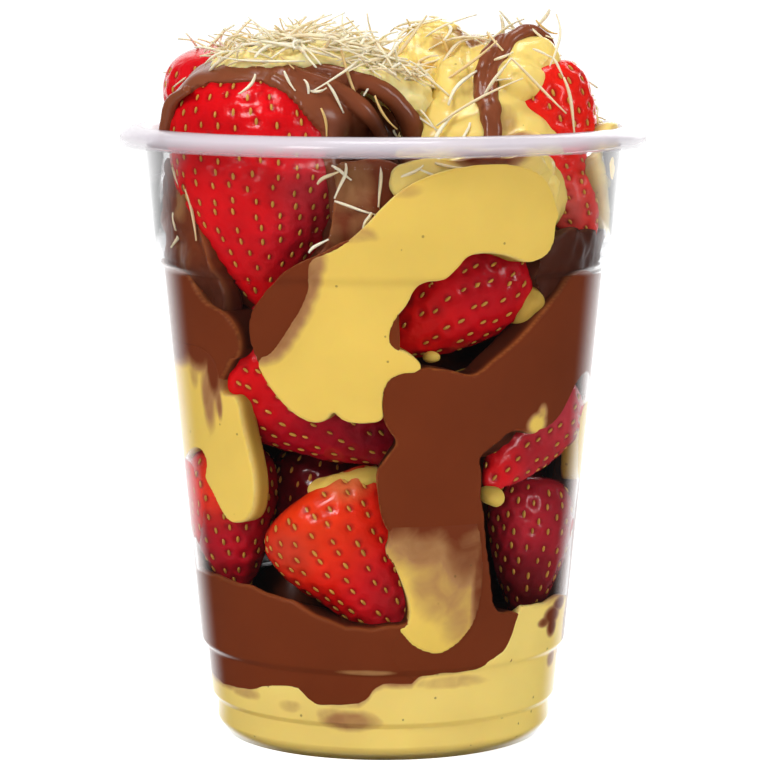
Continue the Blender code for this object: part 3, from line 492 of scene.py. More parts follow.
def pressed(name, outline, depth, bite=BITE, sunk=None):
    """A mass pressed against the wall: a smooth outline filled, rounded and wrapped round Z.

    Between the two heights of sunk its front goes back from the wall.
    """
    deselect()
    bpy.ops.curve.primitive_bezier_circle_add(radius=MM)
    piece = bpy.context.object
    piece.name = name
    curve = piece.data
    curve.dimensions = "2D"
    curve.fill_mode = "BOTH"
    curve.resolution_u = 6
    curve.extrude = (depth / 2 - MASS_ROUNDING) * MM
    curve.bevel_depth = MASS_ROUNDING * MM
    curve.bevel_resolution = 3
    curve.offset = -MASS_ROUNDING * MM
    spline = curve.splines[0]
    spline.bezier_points.add(len(outline) - len(spline.bezier_points))
    for point, (angle, height) in zip(spline.bezier_points, outline):
        point.co = (math.radians(angle) * WRAP_RADIUS * MM, height * MM, 0)
        point.handle_left_type = point.handle_right_type = "AUTO"
    bpy.ops.object.convert(target="MESH")
    piece = bpy.context.object
    remeshed(piece, settings("filling").grain)
    points = points_of(piece) / MM
    back = depth / 2 - points[:, 2]
    back[back < MASS_EDGE[0]] = 0
    radii = wall_radius(points[:, 1], bite) - back
    if sunk:
        radii -= SINKING * np.clip((points[:, 1] - sunk[0]) / (sunk[1] - sunk[0]), 0, 1)
    set_points(piece, around_axis(points[:, 0] / WRAP_RADIUS, radii, points[:, 1]))
    # Painted highlight along the rounded edge and painted shade on the flanks further back
    write_painted_light_and_shade(piece, back, MASS_EDGE, MASS_SHADE)
    piece.data.name = name
    return faced_outwards(piece)


def soft_patch(share, far, strength):
    """The share, raised to the strength where far is small; far is 1 half way down its edge."""
    fade = np.clip(1.5 - far, 0, 1)
    return np.maximum(share, strength * fade * fade * (3 - 2 * fade))


def stain(piece, stains, share=0.0):
    """Write how much of the other cream is mixed in at each vertex, from soft patches."""
    points = points_of(piece) / MM
    angles = np.degrees(angles_of(points))
    for angle, height, half_width, half_height, strength in stains:
        around = (angles - angle + 180) % 360 - 180
        far = np.hypot(around / half_width, (points[:, 2] - height) / half_height)
        share = soft_patch(share, far, strength)
    write_values(piece, "stain", share)


def spotted(piece, name, spots):
    """Write a value at each vertex from round soft spots: place, radius, strength."""
    points = points_of(piece) / MM
    share = 0.0
    for place, radius, strength in spots:
        far = np.linalg.norm(points - np.array(place), axis=1) / radius
        share = soft_patch(share, far, strength)
    write_values(piece, name, share)


def wobble(piece, *noises):
    """Uneven the surface: vertices move along their normals by noises (size, amount, seed)."""
    for size, amount, seed in noises:
        points = points_of(piece)
        normals = np.zeros(len(points) * 3)
        piece.data.vertices.foreach_get("normal", normals)
        shift = Vector((seed, 2 * seed, -seed))
        moves = np.array([noise.noise(Vector(point) / (size * MM) + shift) for point in points])
        moves = moves * (amount * MM)
        set_points(piece, points + normals.reshape(-1, 3) * moves[:, None])


def drawn_inside(points, bite):
    """Draw points, in metres, back that go further than bite into the wall.

    Gives how far past that each one was, in millimetres, or minus infinity above the wall.
    """
    reach = np.hypot(points[:, 0], points[:, 1]) / MM
    room = wall_radius(points[:, 2] / MM, bite)
    low = points[:, 2] / MM < RIM_SECTION[0][0]
    points[:, :2] *= np.where(low & (reach > room), room / np.maximum(reach, 1), 1.0)[:, None]
    return np.where(low, reach - room, -np.inf)


def kept_inside(piece):
    points = points_of(piece)
    drawn_inside(points, CORE_BITE)
    set_points(piece, points)


def shifted(outline, turn, lift, mirror=False):
    sign = -1 if mirror else 1
    return tuple((turn + sign * angle, height + lift) for angle, height in outline)


def finished(piece, materials, replaced):
    piece.data.materials.clear()
    for material in materials if isinstance(materials, (list, tuple)) else [materials]:
        piece.data.materials.append(material)
    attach(piece, "root")
    if replaced:
        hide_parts(*replaced)


# ---------------------------------------------------------------- materials
class Nodes:
    """Short ways to add nodes to a tree."""

    def __init__(self, tree):
        self.nodes, self.links = tree.nodes, tree.links

    def fill(self, node, values):
        """Set or link inputs of a node: to numbers, colours or the sockets of other nodes."""
        for key, value in values.items():
            socket = node.inputs[key]
            if isinstance(value, bpy.types.NodeSocket):
                self.links.new(value, socket)
            elif socket.type == "RGBA":
                socket.default_value = (*value[:3], 1.0)
            else:
                socket.default_value = value
        return node

    def node(self, kind, values=(), **settings_of):
        made = self.nodes.new(kind)
        for key, value in settings_of.items():
            setattr(made, key, value)
        return self.fill(made, dict(values))

    def place(self, space="Object"):
        return self.node("ShaderNodeTexCoord").outputs[space]

    def noise(self, scale, detail=2.0, distortion=0.0):
        return self.node("ShaderNodeTexNoise", {
            "Scale": scale, "Detail": detail, "Distortion": distortion,
            "Vector": self.place()}).outputs["Fac"]

    def ramp(self, value, low, high, to_low=0.0, to_high=1.0, **kinds):
        return self.node("ShaderNodeMapRange", {
            "Value": value, "From Min": low, "From Max": high, "To Min": to_low,
            "To Max": to_high}, **kinds).outputs["Result"]

    def calculate(self, first, operation, second):
        return self.node("ShaderNodeMath", {0: first, 1: second}, operation=operation).outputs[0]

    def mix(self, factor, first, second, blend="MIX"):
        return self.node("ShaderNodeMix", {0: factor, 6: first, 7: second}, data_type="RGBA",
                         blend_type=blend).outputs[2]

    def attribute(self, name, output="Fac"):
        return self.node("ShaderNodeAttribute", attribute_name=name).outputs[output]

    def group(self, tree, values, output):
        return self.node("ShaderNodeGroup", values, node_tree=tree).outputs[output]


class Shader(Nodes):
    """A new material with its Principled shader."""

    def __init__(self, name, roughness=0.4, **inputs):
        self.material = bpy.data.materials.new(name)
        self.material.use_nodes = True
        super().__init__(self.material.node_tree)
        self.shader = self.nodes["Principled BSDF"]
        self.set(Roughness=roughness, **inputs)

    def set(self, **inputs):
        """Set or link inputs of the Principled shader, whose names have _ for each space."""
        self.fill(self.shader, {key.replace("_", " "): value for key, value in inputs.items()})

    def bump(self, height, strength, distance):
        made = self.node("ShaderNodeBump", {"Height": height, "Strength": strength,
                                            "Distance": distance})
        self.set(Normal=made.outputs["Normal"])

    def glow_under(self, weight, radius, scale):
        """Light that spreads under the surface."""
        self.set(Subsurface_Weight=weight, Subsurface_Radius=radius, Subsurface_Scale=scale)

    def surface(self, factor, first, second):
        """Show a mix of two shaders."""
        mix = self.node("ShaderNodeMixShader", {0: factor, 1: first.outputs[0],
                                                2: second.outputs[0]})
        self.fill(self.nodes["Material Output"], {"Surface": mix.outputs[0]})


def specks_group():
    """Tiny dark flecks of vanilla: a mask of small spots, few of which show."""
    name = "Vanilla specks"
    if name in bpy.data.node_groups:
        return bpy.data.node_groups[name]
    tree = bpy.data.node_groups.new(name, "ShaderNodeTree")
    for key, default in (("Spacing", 300.0), ("Size", 0.1), ("Share", 0.3)):
        socket = tree.interface.new_socket(key, in_out="INPUT", socket_type="NodeSocketFloat")
        socket.default_value = default
    tree.interface.new_socket("Mask", in_out="OUTPUT", socket_type="NodeSocketFloat")
    made = Nodes(tree)
    given = made.node("NodeGroupInput").outputs
    cells = made.node("ShaderNodeTexVoronoi", {"Vector": made.place(),
                                               "Scale": given["Spacing"]}).outputs
    tone = made.node("ShaderNodeSeparateColor", {"Color": cells["Color"]}).outputs
    small = made.calculate(cells["Distance"], "LESS_THAN", given["Size"])
    few = made.calculate(tone["Red"], "LESS_THAN", given["Share"])
    made.node("NodeGroupOutput", {"Mask": made.calculate(small, "MULTIPLY", few)})
    return tree


def marbled(name, main, other, edge, deep, roughness, specular, specks=0.35):
    """Cream with the other cream marbled in where the stain attribute says."""
    made = Shader(name, roughness, IOR=1.45, Specular_IOR_Level=specular)
    tone = made.mix(made.ramp(made.noise(55, 3), 0.3, 0.7), [part * 0.93 for part in main],
                    [min(1, part * 1.05) for part in main])
    uneven = made.ramp(made.noise(210, 3, 0.8), 0.25, 0.75, -0.10, 0.10)
    share = made.calculate(made.attribute("stain"), "ADD", uneven)
    tone = made.mix(made.ramp(share, 0.10, 0.52), tone, TAN)
    tone = made.mix(made.ramp(share, 0.52, 0.95), tone, other)
    # Painted highlight on rounded edges where the other cream is not mixed in, then painted shade
    lit = made.calculate(made.attribute("edge"), "MULTIPLY", made.ramp(share, 0.1, 0.6, 1, 0))
    tone = made.mix(lit, tone, edge)
    tone = made.mix(made.attribute("deep"), tone, deep)
    if specks:
        mask = made.group(specks_group(), {"Spacing": 330.0, "Size": 0.085, "Share": specks},
                          "Mask")
        tone = made.mix(made.calculate(mask, "MULTIPLY", 0.6), tone, SPECKS)
    made.set(Base_Color=tone)
    return made


def cream_material(name, specular=0.12, roughness=0.45, pale=False):
    fill = settings("filling")
    made = marbled(name, fill.pale_cream if pale else fill.cream, fill.chocolate, CREAM_EDGE_HIGHLIGHT,
                   CREAM_IN_SHADE, roughness, specular)
    made.glow_under(0.35, CREAM_GLOW, 1.0 * MM)
    return made.material


def chocolate_material(name, specular=0.08, roughness=0.45, shiny=False):
    fill = settings("filling")
    # shiny takes the lighter copy of the chocolate, painted light for the chocolate on top
    made = marbled(name, fill.lit_shiny_chocolate if shiny else fill.chocolate, fill.cream,
                   CHOCOLATE_EDGE_HIGHLIGHT, CHOCOLATE_IN_SHADE, roughness, specular, specks=0)
    made.glow_under(0.15, (1.0, 0.4, 0.2), 0.6 * MM)
    return made.material


# ---------------------------------------------------------------- the cup
class AddCup(bpy.types.Operator):
    """Add the clear plastic cup with its rolled rim, shoulder and stepped foot"""
    bl_idname = "strawberry_cup.add_cup"
    bl_label = "Clear cup"

    def execute(self, context):
        inside = [(height, radius - WALL) for height, radius in CUP_OUTSIDE[1:]]
        outer = [(FLOOR, 0), (FLOOR, FOOT_INSIDE - 1.5), (0, FOOT_INSIDE)]
        outer += round_corners(CUP_OUTSIDE, 0.5) + list(RIM_SECTION)
        inner = round_corners(inside, 0.4)[::-1]
        inner = inner + [(FLOOR + WALL, FOOT_INSIDE), (FLOOR + WALL, 0)]
        profile = np.array([tuple(point) for point in outer + inner], float)

        def place(rings, angles):
            return profile[rings, 1], profile[rings, 0]

        cup = turned("clear_cup", len(profile), settings("cup").segments, place)
        made = Shader("clear plastic", 0.0, IOR=1.38, Base_Color=settings("cup").plastic,
                      Transmission_Weight=1.0)
        path = made.node("ShaderNodeLightPath").outputs
        rays = made.calculate(path["Is Shadow Ray"], "MAXIMUM", path["Is Diffuse Ray"])
        made.surface(rays, made.shader, made.node("ShaderNodeBsdfTransparent"))
        # Painted reflection: the clear rim gets a pale tone, more solid towards its top
        rim = Shader("rim plastic", 0.2, IOR=1.42, Base_Color=RIM_TONE)
        level = rim.node("ShaderNodeSeparateXYZ", {0: rim.place()}).outputs["Z"]
        lower, upper = RIM_LEVELS
        rim.set(Alpha=rim.ramp(level, lower * MM, upper * MM, *RIM_ALPHAS))
        finished(cup, [made.material, rim.material], ["cup"])
        for face in cup.data.polygons:
            centre = face.center / MM
            face.material_index = int(centre.z > RIM_BOTTOM or centre.xy.length > RIM_INSIDE)
        return {"FINISHED"}


# ---------------------------------------------------------------- layers at the bottom
def heights_round(table, angles):
    places, heights = zip(*table)
    return np.interp(np.degrees(angles), places, heights)


def layer(name, bottom, table, centre, bite):
    """A layer that fills the cup: its top follows the table at the wall."""
    side, corner, rounding = LAYER_SIDE, LAYER_CORNER, LAYER_ROUNDING
    rings = 2 + side + corner + LAYER_TOP

    def place(ring, angles):
        wobbly = 0.14 * np.sin(angles * 23) + 0.08 * np.sin(angles * 41 + 1)
        top = heights_round(table, angles) + wobbly
        on_side = (ring >= 1) & (ring <= side)
        on_corner = (ring > side) & (ring <= side + corner)
        on_top = ring > side + corner
        level = bottom + 0.6 + (top - 1.3 - bottom) * (ring - 2) / (side - 2)
        side_radii = wall_radius(level, bite) - np.where(ring == 1, LAYER_CHAMFER, 0)
        level = np.where(ring == 1, bottom, level)
        turn = (ring - side) / corner * math.pi / 2
        at_top = wall_radius(top - rounding, bite)
        inward = (ring - side - corner) / (rings - 1 - side - corner)
        lumps = 0.8 * np.sin(3 * angles + 9 * inward) * np.sin(math.pi * inward)
        places = (on_side, on_corner, on_top)
        radii = np.select(places, (side_radii, at_top - rounding * (1 - np.cos(turn)),
                                   (at_top - rounding) * (1 - inward)), 0)
        heights = np.select(places, (level, top - rounding + rounding * np.sin(turn),
                                     top + (centre - top) * np.minimum(1, inward * 1.8) + lumps),
                            bottom)
        return radii, heights

    piece = turned(name, rings, LAYER_STEPS, place)
    points = points_of(piece) / MM
    back = wall_radius(points[:, 2], bite) - np.hypot(points[:, 0], points[:, 1])
    # Painted highlight along the layer's top edge and painted shade over its top further in
    write_painted_light_and_shade(piece, np.where(points[:, 2] > bottom + 2, back, 0), LAYER_EDGE, LAYER_SHADE)
    return piece


class AddBaseLayers(bpy.types.Operator):
    """Add the layer of vanilla cream at the bottom and the chocolate cream above it"""
    bl_idname = "strawberry_cup.add_base_layers"
    bl_label = "Bottom layers"

    def execute(self, context):
        base = layer("vanilla_base", FLOOR + 0.4, BASE_TOP, centre=14, bite=BITE)
        points = points_of(base) / MM
        angles = angles_of(points)
        below = heights_round(BASE_TOP, angles) - points[:, 2]
        patches = 0.5 + 0.5 * np.sin(5 * angles + 1.2)
        stain(base, BASE_STAINS, 0.7 * patches * np.clip(1 - below / 1.6, 0, 1))
        finished(base, cream_material("vanilla cream in the base", pale=True),
                 ["cream_base"])
        above = layer("chocolate_layer", 8, CHOCOLATE_TOP, centre=23, bite=CHOCOLATE_BITE)
        stain(above, ((-5, 17, 8, 0.5, 0.5),))
        finished(above, chocolate_material("chocolate in the layer"), ["chocolate"])
        return {"FINISHED"}


# ---------------------------------------------------------------- masses on the wall
class AddWallCream(bpy.types.Operator):
    """Add the vanilla cream that lies in folds and streaks against the wall"""
    bl_idname = "strawberry_cup.add_wall_cream"
    bl_label = "Cream on the wall"

    def execute(self, context):
        cream = cream_material("vanilla cream on the wall")
        back_fold = shifted(FRONT_FOLD, BACK_FOLD_TURN, BACK_FOLD_LIFT, True)
        back_streak = shifted(FRONT_STREAK, BACK_STREAK_TURN, BACK_STREAK_LIFT)
        for name, outline, depth, stains, node in (
                ("fold_front", FRONT_FOLD, 6, FOLD_STAINS, "cream_fold_front"),
                ("streak_front", FRONT_STREAK, 4, STREAK_STAINS, "cream_streak_front"),
                ("cream_left", LEFT_CREAM, 4.6, LEFT_STAINS, "cream_left"),
                ("cream_dab", RIGHT_DAB, 3.4, (), "cream_fold_front"),
                ("fold_back", back_fold, 6, (), "cream_fold_back"),
                ("streak_back", back_streak, 5, (), "cream_streak_back")):
            piece = pressed(name + "_smear", outline, depth,
                            sunk=SINKING_HEIGHTS if outline is FRONT_STREAK else None)
            stain(piece, stains)
            finished(piece, cream, [node])
        pale = cream_material("vanilla cream behind the wall", specular=0.3, roughness=0.35,
                              pale=True)
        for name, outline, setback, depth in (
                ("upper_cream", UPPER_CREAM, 1.8, 5),
                ("upper_cream_right", UPPER_CREAM_RIGHT, 0.3, 3.6)):
            piece = pressed(name, outline, depth, bite=-setback)
            wobble(piece, (4, 0.22 * depth, 7))
            stain(piece, UPPER_STAINS.get(name, ()))
            finished(piece, pale, ["cream_topping"])
        return {"FINISHED"}


class AddWallChocolate(bpy.types.Operator):
    """Add the chocolate cream that lies against the wall"""
    bl_idname = "strawberry_cup.add_wall_chocolate"
    bl_label = "Chocolate on the wall"

    def execute(self, context):
        chocolate = chocolate_material("chocolate on the wall")
        for name, outline, depth, stains in (
                ("lobe", FRONT_LOBE, 7, ()),
                ("right", RIGHT_COLUMN, 7, COLUMN_STAINS),
                ("left", LEFT_CHOCOLATE, 8, ()),
                ("smear_left", LEFT_SMEAR, 5, ()),
                ("smear_right", RIGHT_SMEAR, 5, ()),
                ("back", BACK_COLUMN, 8, ())):
            piece = pressed("chocolate_" + name, outline, depth,
                            bite=SMEAR_BITE if outline is LEFT_SMEAR else CHOCOLATE_BITE)
            stain(piece, stains)
            finished(piece, chocolate, ["chocolate"])
        shiny = chocolate_material("chocolate behind the wall", specular=0.2, roughness=0.4)
        # Pieces set back from the wall: name, outline, setback, depth and painted shade over the whole
        # piece
        for name, outline, setback, depth, dark in (
                ("upper_left", UPPER_LEFT, 1.4, 4, 0), ("upper_middle", UPPER_MIDDLE, 3.0, 6, 0),
                ("upper_right", UPPER_RIGHT, 1.6, 4, 0.75), ("upper_back", UPPER_BACK, 3.6, 6, 0)):
            piece = pressed("chocolate_" + name, outline, depth, bite=-setback)
            wobble(piece, (6, 1.2, 9), (2.5, 0.3, 2))
            stain(piece, UPPER_STAINS.get(name, ()))
            # Painted shade: darker lower down towards the shoulder, and dark all over where the table
            # says
            low = np.clip((93 - points_of(piece)[:, 2] / MM) / 8, 0, 1) * 0.7
            write_values(piece, "deep", np.maximum(low, dark))
            finished(piece, shiny, ["chocolate"])
        return {"FINISHED"}


# ---------------------------------------------------------------- strawberries
def berry_radius(along, fullness):
    return np.sin(np.pi * np.clip(along, 0, 1) ** fullness) ** BERRY_BLUNTNESS


class Berry:
    """The shape of one strawberry: a point on it for a place along its axis and round it."""

    def __init__(self, crown, tip, width, depth, facing, fullness):
        self.crown, self.tip = Vector(crown) * MM, Vector(tip) * MM
        self.axis = (self.tip - self.crown).normalized()
        front = Vector(facing)
        self.front = (front - self.axis * front.dot(self.axis)).normalized()
        self.side = self.axis.cross(self.front)
        self.width, self.depth, self.fullness = width * MM, depth, fullness
        self.length = (self.tip - self.crown).length

    def points(self, along, turn, out=0.0):
        radius = self.width / 2 * berry_radius(along, self.fullness) + out
        across = (np.cos(turn) * radius)[:, None] * np.array(self.side)
        across = across + (np.sin(turn) * radius * self.depth)[:, None] * np.array(self.front)
        centre = np.array(self.crown) + along[:, None] * np.array(self.tip - self.crown)
        return centre + across

    def seed_places(self, spacing, draw):
        """Rows round the berry, each turned by half a step."""
        along, turn = [], []
        rows = max(5, round(self.length * 1.12 / (spacing * ROW_SPACING)))
        for row in range(1, rows):
            part = row / rows
            radius = self.width / 2 * float(berry_radius(np.array(part), self.fullness)) * 0.92
            count = max(3, round(math.tau * radius / spacing))
            for step in range(count):
                shift = draw.uniform(-ROW_SHIFT, ROW_SHIFT) / rows
                along.append(min(0.985, max(0.03, part + shift)))
                shift = draw.uniform(-STEP_SHIFT, STEP_SHIFT)
                turn.append(math.tau * (step + (row % 2) / 2 + shift) / count)
        return np.array(along), np.array(turn)


def unit_ball(columns, rings):
    """A ball of radius 1, its points, how far along its axis each lies (0 to 1) and its turn."""
    deselect()
    bpy.ops.mesh.primitive_uv_sphere_add(segments=columns, ring_count=rings, radius=1)
    piece = bpy.context.object
    unit = points_of(piece)
    along = np.arccos(np.clip(unit[:, 2], -1, 1)) / np.pi
    return piece, unit, along, np.arctan2(unit[:, 1], unit[:, 0])


def finder(points):
    """A tree that finds the nearest of the points."""
    tree = KDTree(len(points))
    for index, point in enumerate(points):
        tree.insert(point, index)
    tree.balance()
    return tree


def strawberry(name, berry, columns, rings, tones, spacing, skin, seed_material, draw):
    shape = Berry(*berry)
    piece, unit, along, turn = unit_ball(columns, rings)
    piece.name = piece.data.name = name
    shift = Vector((draw.uniform(0, 50), 0, 0))
    uneven, fine = (np.array([noise.noise(Vector(point) * scale + shift) for point in unit])
                    for scale in UNEVEN_SCALES)
    swell = UNEVEN[0] * uneven + UNEVEN[1] * fine
    swell = swell * shape.width / 2 * np.sin(np.pi * along) ** 0.5
    seed_along, seed_turn = shape.seed_places(spacing, draw)
    seeds = shape.points(seed_along, seed_turn, SWELLING * MM)
    ahead = shape.points(np.minimum(seed_along + 0.01, 1), seed_turn, SWELLING * MM) - seeds
    beside = shape.points(seed_along, seed_turn + 0.05, SWELLING * MM) - seeds
    drawn_inside(seeds, SEED_BITE)
    tree = finder(seeds)
    near = np.array([tree.find(point)[2] for point in shape.points(along, turn)]) / MM
    pit = np.exp(-(near / PIT_WIDTH) ** 2)
    ring = np.exp(-((near - RING_RADIUS) / RING_WIDTH) ** 2)
    dimple = RING_HEIGHT * MM * ring - PIT_DEPTH * MM * pit * (spacing / (PIT_SPACING * MM))
    points = shape.points(along, turn, swell + dimple + SWELLING * MM)
    past = drawn_inside(points, CONTACT_BITE)
    set_points(piece, points)
    # The dimple mask also sets the painted shade of the dimples
    write_values(piece, "pit", pit)
    write_values(piece, "wet", np.clip(past / 0.5 + 0.6, 0, 1))
    shade = np.tile(np.array(tones["base"]), (len(points), 1))
    for centre, radius, tone, strength in tones.get("spots", ()):
        far = np.linalg.norm(points / MM - np.array(centre), axis=1) / radius
        part = strength * np.clip(1.4 - far, 0, 1)[:, None]
        shade = shade * (1 - part) + np.array(tone) * part
    write_colours(piece, "skin", shade)
    faced_outwards(piece)
    piece.data.materials.append(skin)
    bpy.ops.mesh.primitive_uv_sphere_add(segments=8, ring_count=6, radius=1)
    kernel = bpy.context.object
    surface = finder(points)
    wide, thick, long = SEED_SIZES
    moulds = []
    for place, forward, sideways in zip(seeds, ahead, beside):
        down = Vector(forward).normalized()
        across = Vector(sideways).normalized()
        out = across.cross(down).normalized()
        if out.dot(Vector(place) - (shape.crown + shape.tip) / 2) < 0:
            out = -out
        across = down.cross(out)
        size = draw.uniform(0.85, 1.12)
        basis = Matrix((across * wide * size, out * thick, down * long * size)).transposed() * MM
        sunk = (surface.find(place)[0] - Vector(place)).dot(out) + SEED_RISE * MM
        moulds.append((basis, Vector(place) + out * min(0, sunk)))
    kernels = copies(name + "_seeds", kernel, moulds)
    kernels.data.materials.append(seed_material)
    write_values(kernels, "pit", 0)
    write_values(kernels, "wet", 0)
    write_colours(kernels, "skin", (1, 1, 1))
    return joined(name, [piece, kernels])


def copies(name, pattern, moulds):
    """Joined copies of a small mesh, one for each (3x3 basis, place); the pattern is removed."""
    unit = points_of(pattern)
    faces = [tuple(face.vertices) for face in pattern.data.polygons]
    points = [unit @ np.array(basis).T + np.array(place) for basis, place in moulds]
    every = []
    for number, (basis, place) in enumerate(moulds):
        flip = basis.determinant() < 0
        for face in faces:
            corners = [number * len(unit) + corner for corner in face]
            every.append(corners[::-1] if flip else corners)
    bpy.data.objects.remove(pattern)
    made = made_object(name, np.concatenate(points), every)
    made.data.shade_smooth()
    return made


def skin_material():
    made = Shader("strawberry skin", 0.2, IOR=1.45, Specular_IOR_Level=0.3, Coat_Weight=0.28,
                  Coat_Roughness=0.06)
    blotch = made.ramp(made.noise(140, 3), 0.35, 0.7, 0.85, 1.12)
    grey = made.node("ShaderNodeCombineColor", {"Red": blotch, "Green": blotch, "Blue": blotch})
    shade = made.mix(1.0, made.attribute("skin", "Color"), grey.outputs[0], "MULTIPLY")
    wet = made.calculate(made.attribute("wet"), "MULTIPLY", made.noise(300, 2))
    wet = made.calculate(made.ramp(wet, 0.2, 0.5), "MULTIPLY", 0.45)
    shade = made.mix(wet, shade, WET_RED)
    # Painted shade: the skin goes dark in the dimples round the seeds
    pit = made.ramp(made.attribute("pit"), 0.25, 0.9, 0, 0.85)
    made.set(Base_Color=made.mix(pit, shade, PIT_SHADE_RED))
    made.bump(made.noise(700, 4), 0.75, 0.3 * MM)
    made.glow_under(0.2, (1.0, 0.10, 0.06), 1.4 * MM)
    return made.material


# Colours, and spots of colour: place in millimetres, radius, colour, strength
BERRY_TONES = {
    "berry_top_left": {"base": (0.78, 0.004, 0.008), "spots": (
        ((-10, -32, 106), 8, (0.60, 0.05, 0.07), 0.7), ((-12, -33, 94), 9, (0.50, 0.01, 0.025), 0.8),
        ((-30, -33, 90), 9, (0.60, 0.003, 0.012), 0.6))},
    "berry_top_far_left": {"base": (0.75, 0.006, 0.012)},
    "berry_top_right": {"base": (0.88, 0.016, 0.008), "spots": (
        ((33, -19, 101), 7, (0.66, 0.14, 0.12), 0.85),)},
    "berry_right_upper": {"base": (0.66, 0.004, 0.010), "spots": (
        ((4, -34, 78), 9, (0.86, 0.006, 0.006), 1.0), ((20, -30, 90), 7, (0.42, 0.003, 0.010), 0.8))},
    "berry_centre": {"base": (0.42, 0.003, 0.014), "spots": (
        ((-27, -26, 71), 12, (0.80, 0.003, 0.006), 1.0), ((3, -34, 57), 11, (0.26, 0.003, 0.014), 0.9),
        ((-25, -26, 82), 6, (0.45, 0.03, 0.05), 0.8))},
    "berry_low_centre": {"base": (0.86, 0.005, 0.006), "spots": (
        ((-15, -31, 46), 13, (0.95, 0.045, 0.006), 1.0), ((-7, -29, 53.5), 5, (0.92, 0.26, 0.08), 0.9),
        ((6, -35, 26), 12, (0.48, 0.012, 0.022), 1.0), ((-17, -27, 38), 5, (0.62, 0.05, 0.02), 0.8))},
    "berry_low_left": {"base": (0.42, 0.003, 0.012), "spots": (
        ((-32, -18, 50), 8, (0.90, 0.04, 0.012), 1.0), ((-28, -20, 34), 8, (0.62, 0.006, 0.02), 0.7))},
    # Near black all over: painted shade, as it lies deep behind the others
    "berry_low_inner": {"base": (0.13, 0.002, 0.006)},
    "berry_right_middle": {"base": (0.52, 0.02, 0.03), "spots": (
        ((21, -30, 53), 7, (0.90, 0.002, 0.004), 1.0), ((33, -17, 66), 8, (0.62, 0.06, 0.08), 0.8))},
    # Its near-black spot at the bottom is painted shade
    "berry_low_right": {"base": (0.40, 0.012, 0.024), "spots": (
        ((28, -20, 26), 9, (0.07, 0.001, 0.003), 1.0), ((25, -25, 44), 8, (0.62, 0.02, 0.035), 0.8))},
}


class AddStrawberries(bpy.types.Operator):
    """Add the whole strawberries, each with its seeds in dimples"""
    bl_idname = "strawberry_cup.add_strawberries"
    bl_label = "Strawberries"

    def execute(self, context):
        draw = random.Random(11)
        skin = skin_material()
        kernel = Shader("strawberry seeds", 0.32, IOR=1.45)
        gold = settings("berry").seed
        kernel.set(Base_Color=kernel.mix(kernel.noise(400, 1), [part * 0.7 for part in gold],
                                         [min(1, part * 1.25) for part in gold]))
        spacing = settings("berry").seed_spacing
        places = [(name, berry, 112, 84) for name, berry in BERRIES.items()]
        for number, place in enumerate(BACK_BERRIES, 1):
            angle, crown_radius, crown, tip_radius, tip, width, lean = place
            berry = (round_wall(angle, crown_radius, crown),
                     round_wall(angle + lean, tip_radius, tip),
                     width, BACK_DEPTH, round_wall(angle + lean / 2, 1, 0), BACK_FULLNESS)
            places.append((f"berry_back_{number}", berry, 80, 60))
        for name, berry, columns, rings in places:
            tones = BERRY_TONES.get(name, {"base": BERRY_RED})
            made = strawberry("straw" + name, berry, columns, rings, tones, spacing, skin,
                              kernel.material, draw)
            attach(made, "root")
            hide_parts(name)
        return {"FINISHED"}


# ---------------------------------------------------------------- the middle and the topping
def blob(centre, half_sizes, turns=(0, 0, 0)):
    deselect()
    bpy.ops.mesh.primitive_uv_sphere_add(
        segments=32, ring_count=20, radius=MM, location=Vector(centre) * MM, scale=half_sizes,
        rotation=[math.radians(turn) for turn in turns])
    bpy.ops.object.transform_apply(location=True, rotation=True, scale=True)
    return bpy.context.object


def tube(route, radii):
    """A round strand along a route, thick as the radii say."""
    deselect()
    bpy.ops.curve.primitive_bezier_curve_add(location=(0, 0, 0))
    piece = bpy.context.object
    curve = piece.data
    curve.bevel_depth = MM
    curve.bevel_resolution = 4
    curve.resolution_u = 8
    curve.use_fill_caps = True
    spline = curve.splines[0]
    spline.bezier_points.add(len(route) - 2)
    for point, place, radius in zip(spline.bezier_points, route, radii):
        point.co = Vector(place) * MM
        point.handle_left_type = point.handle_right_type = "AUTO"
        point.radius = radius
    bpy.ops.object.convert(target="MESH")
    return bpy.context.object


def mass(name, lumps, strands, size, *noises, smoothing=3):
    """Rounded lumps and strands, run together into one soft mass and made uneven."""
    pieces = [blob(*lump) for lump in lumps] + [tube(*strand) for strand in strands]
    made = remeshed(joined(name, pieces), size * MM, smoothing)
    wobble(made, *noises)
    return made


# Lumps: centre, half sizes, turns in degrees. Strands: places and their radii. Painted shade:
# place, radius, strength
CORE_BLOBS = (
    ((0, 4, 26), (26, 22, 9)), ((-3, 8, 46), (20, 17, 15)), ((8, 5, 44), (20, 19, 15)),
    ((4, 4, 62), (25, 22, 14)), ((-8, 5, 62), (23, 21, 13)), ((-4, 3, 78), (27, 24, 13)),
    ((6, 2, 80), (26, 22, 12)), ((0, 4, 92), (27, 25, 11)), ((12, -12, 66), (14, 10, 9)),
    ((-22, -2, 66), (9, 14, 12)), ((19, 12, 56), (13, 12, 13)), ((-17, 12, 48), (12, 11, 15)),
    ((2, 20, 50), (20, 10, 21)), ((14, -21.5, 60), (10, 6, 7)))
# Chocolate above the shoulder, between the strawberries
SHOULDER_BLOBS = (
    ((-23, -15, 84), (8, 6, 8), (0, 0, 35)), ((-28, -8, 95), (6, 9, 13)),
    ((24, -14, 86), (8, 6, 8), (0, 0, -38)), ((27, -4, 88), (6, 10, 10)),
    ((-8, -21, 98), (9, 7, 12)))
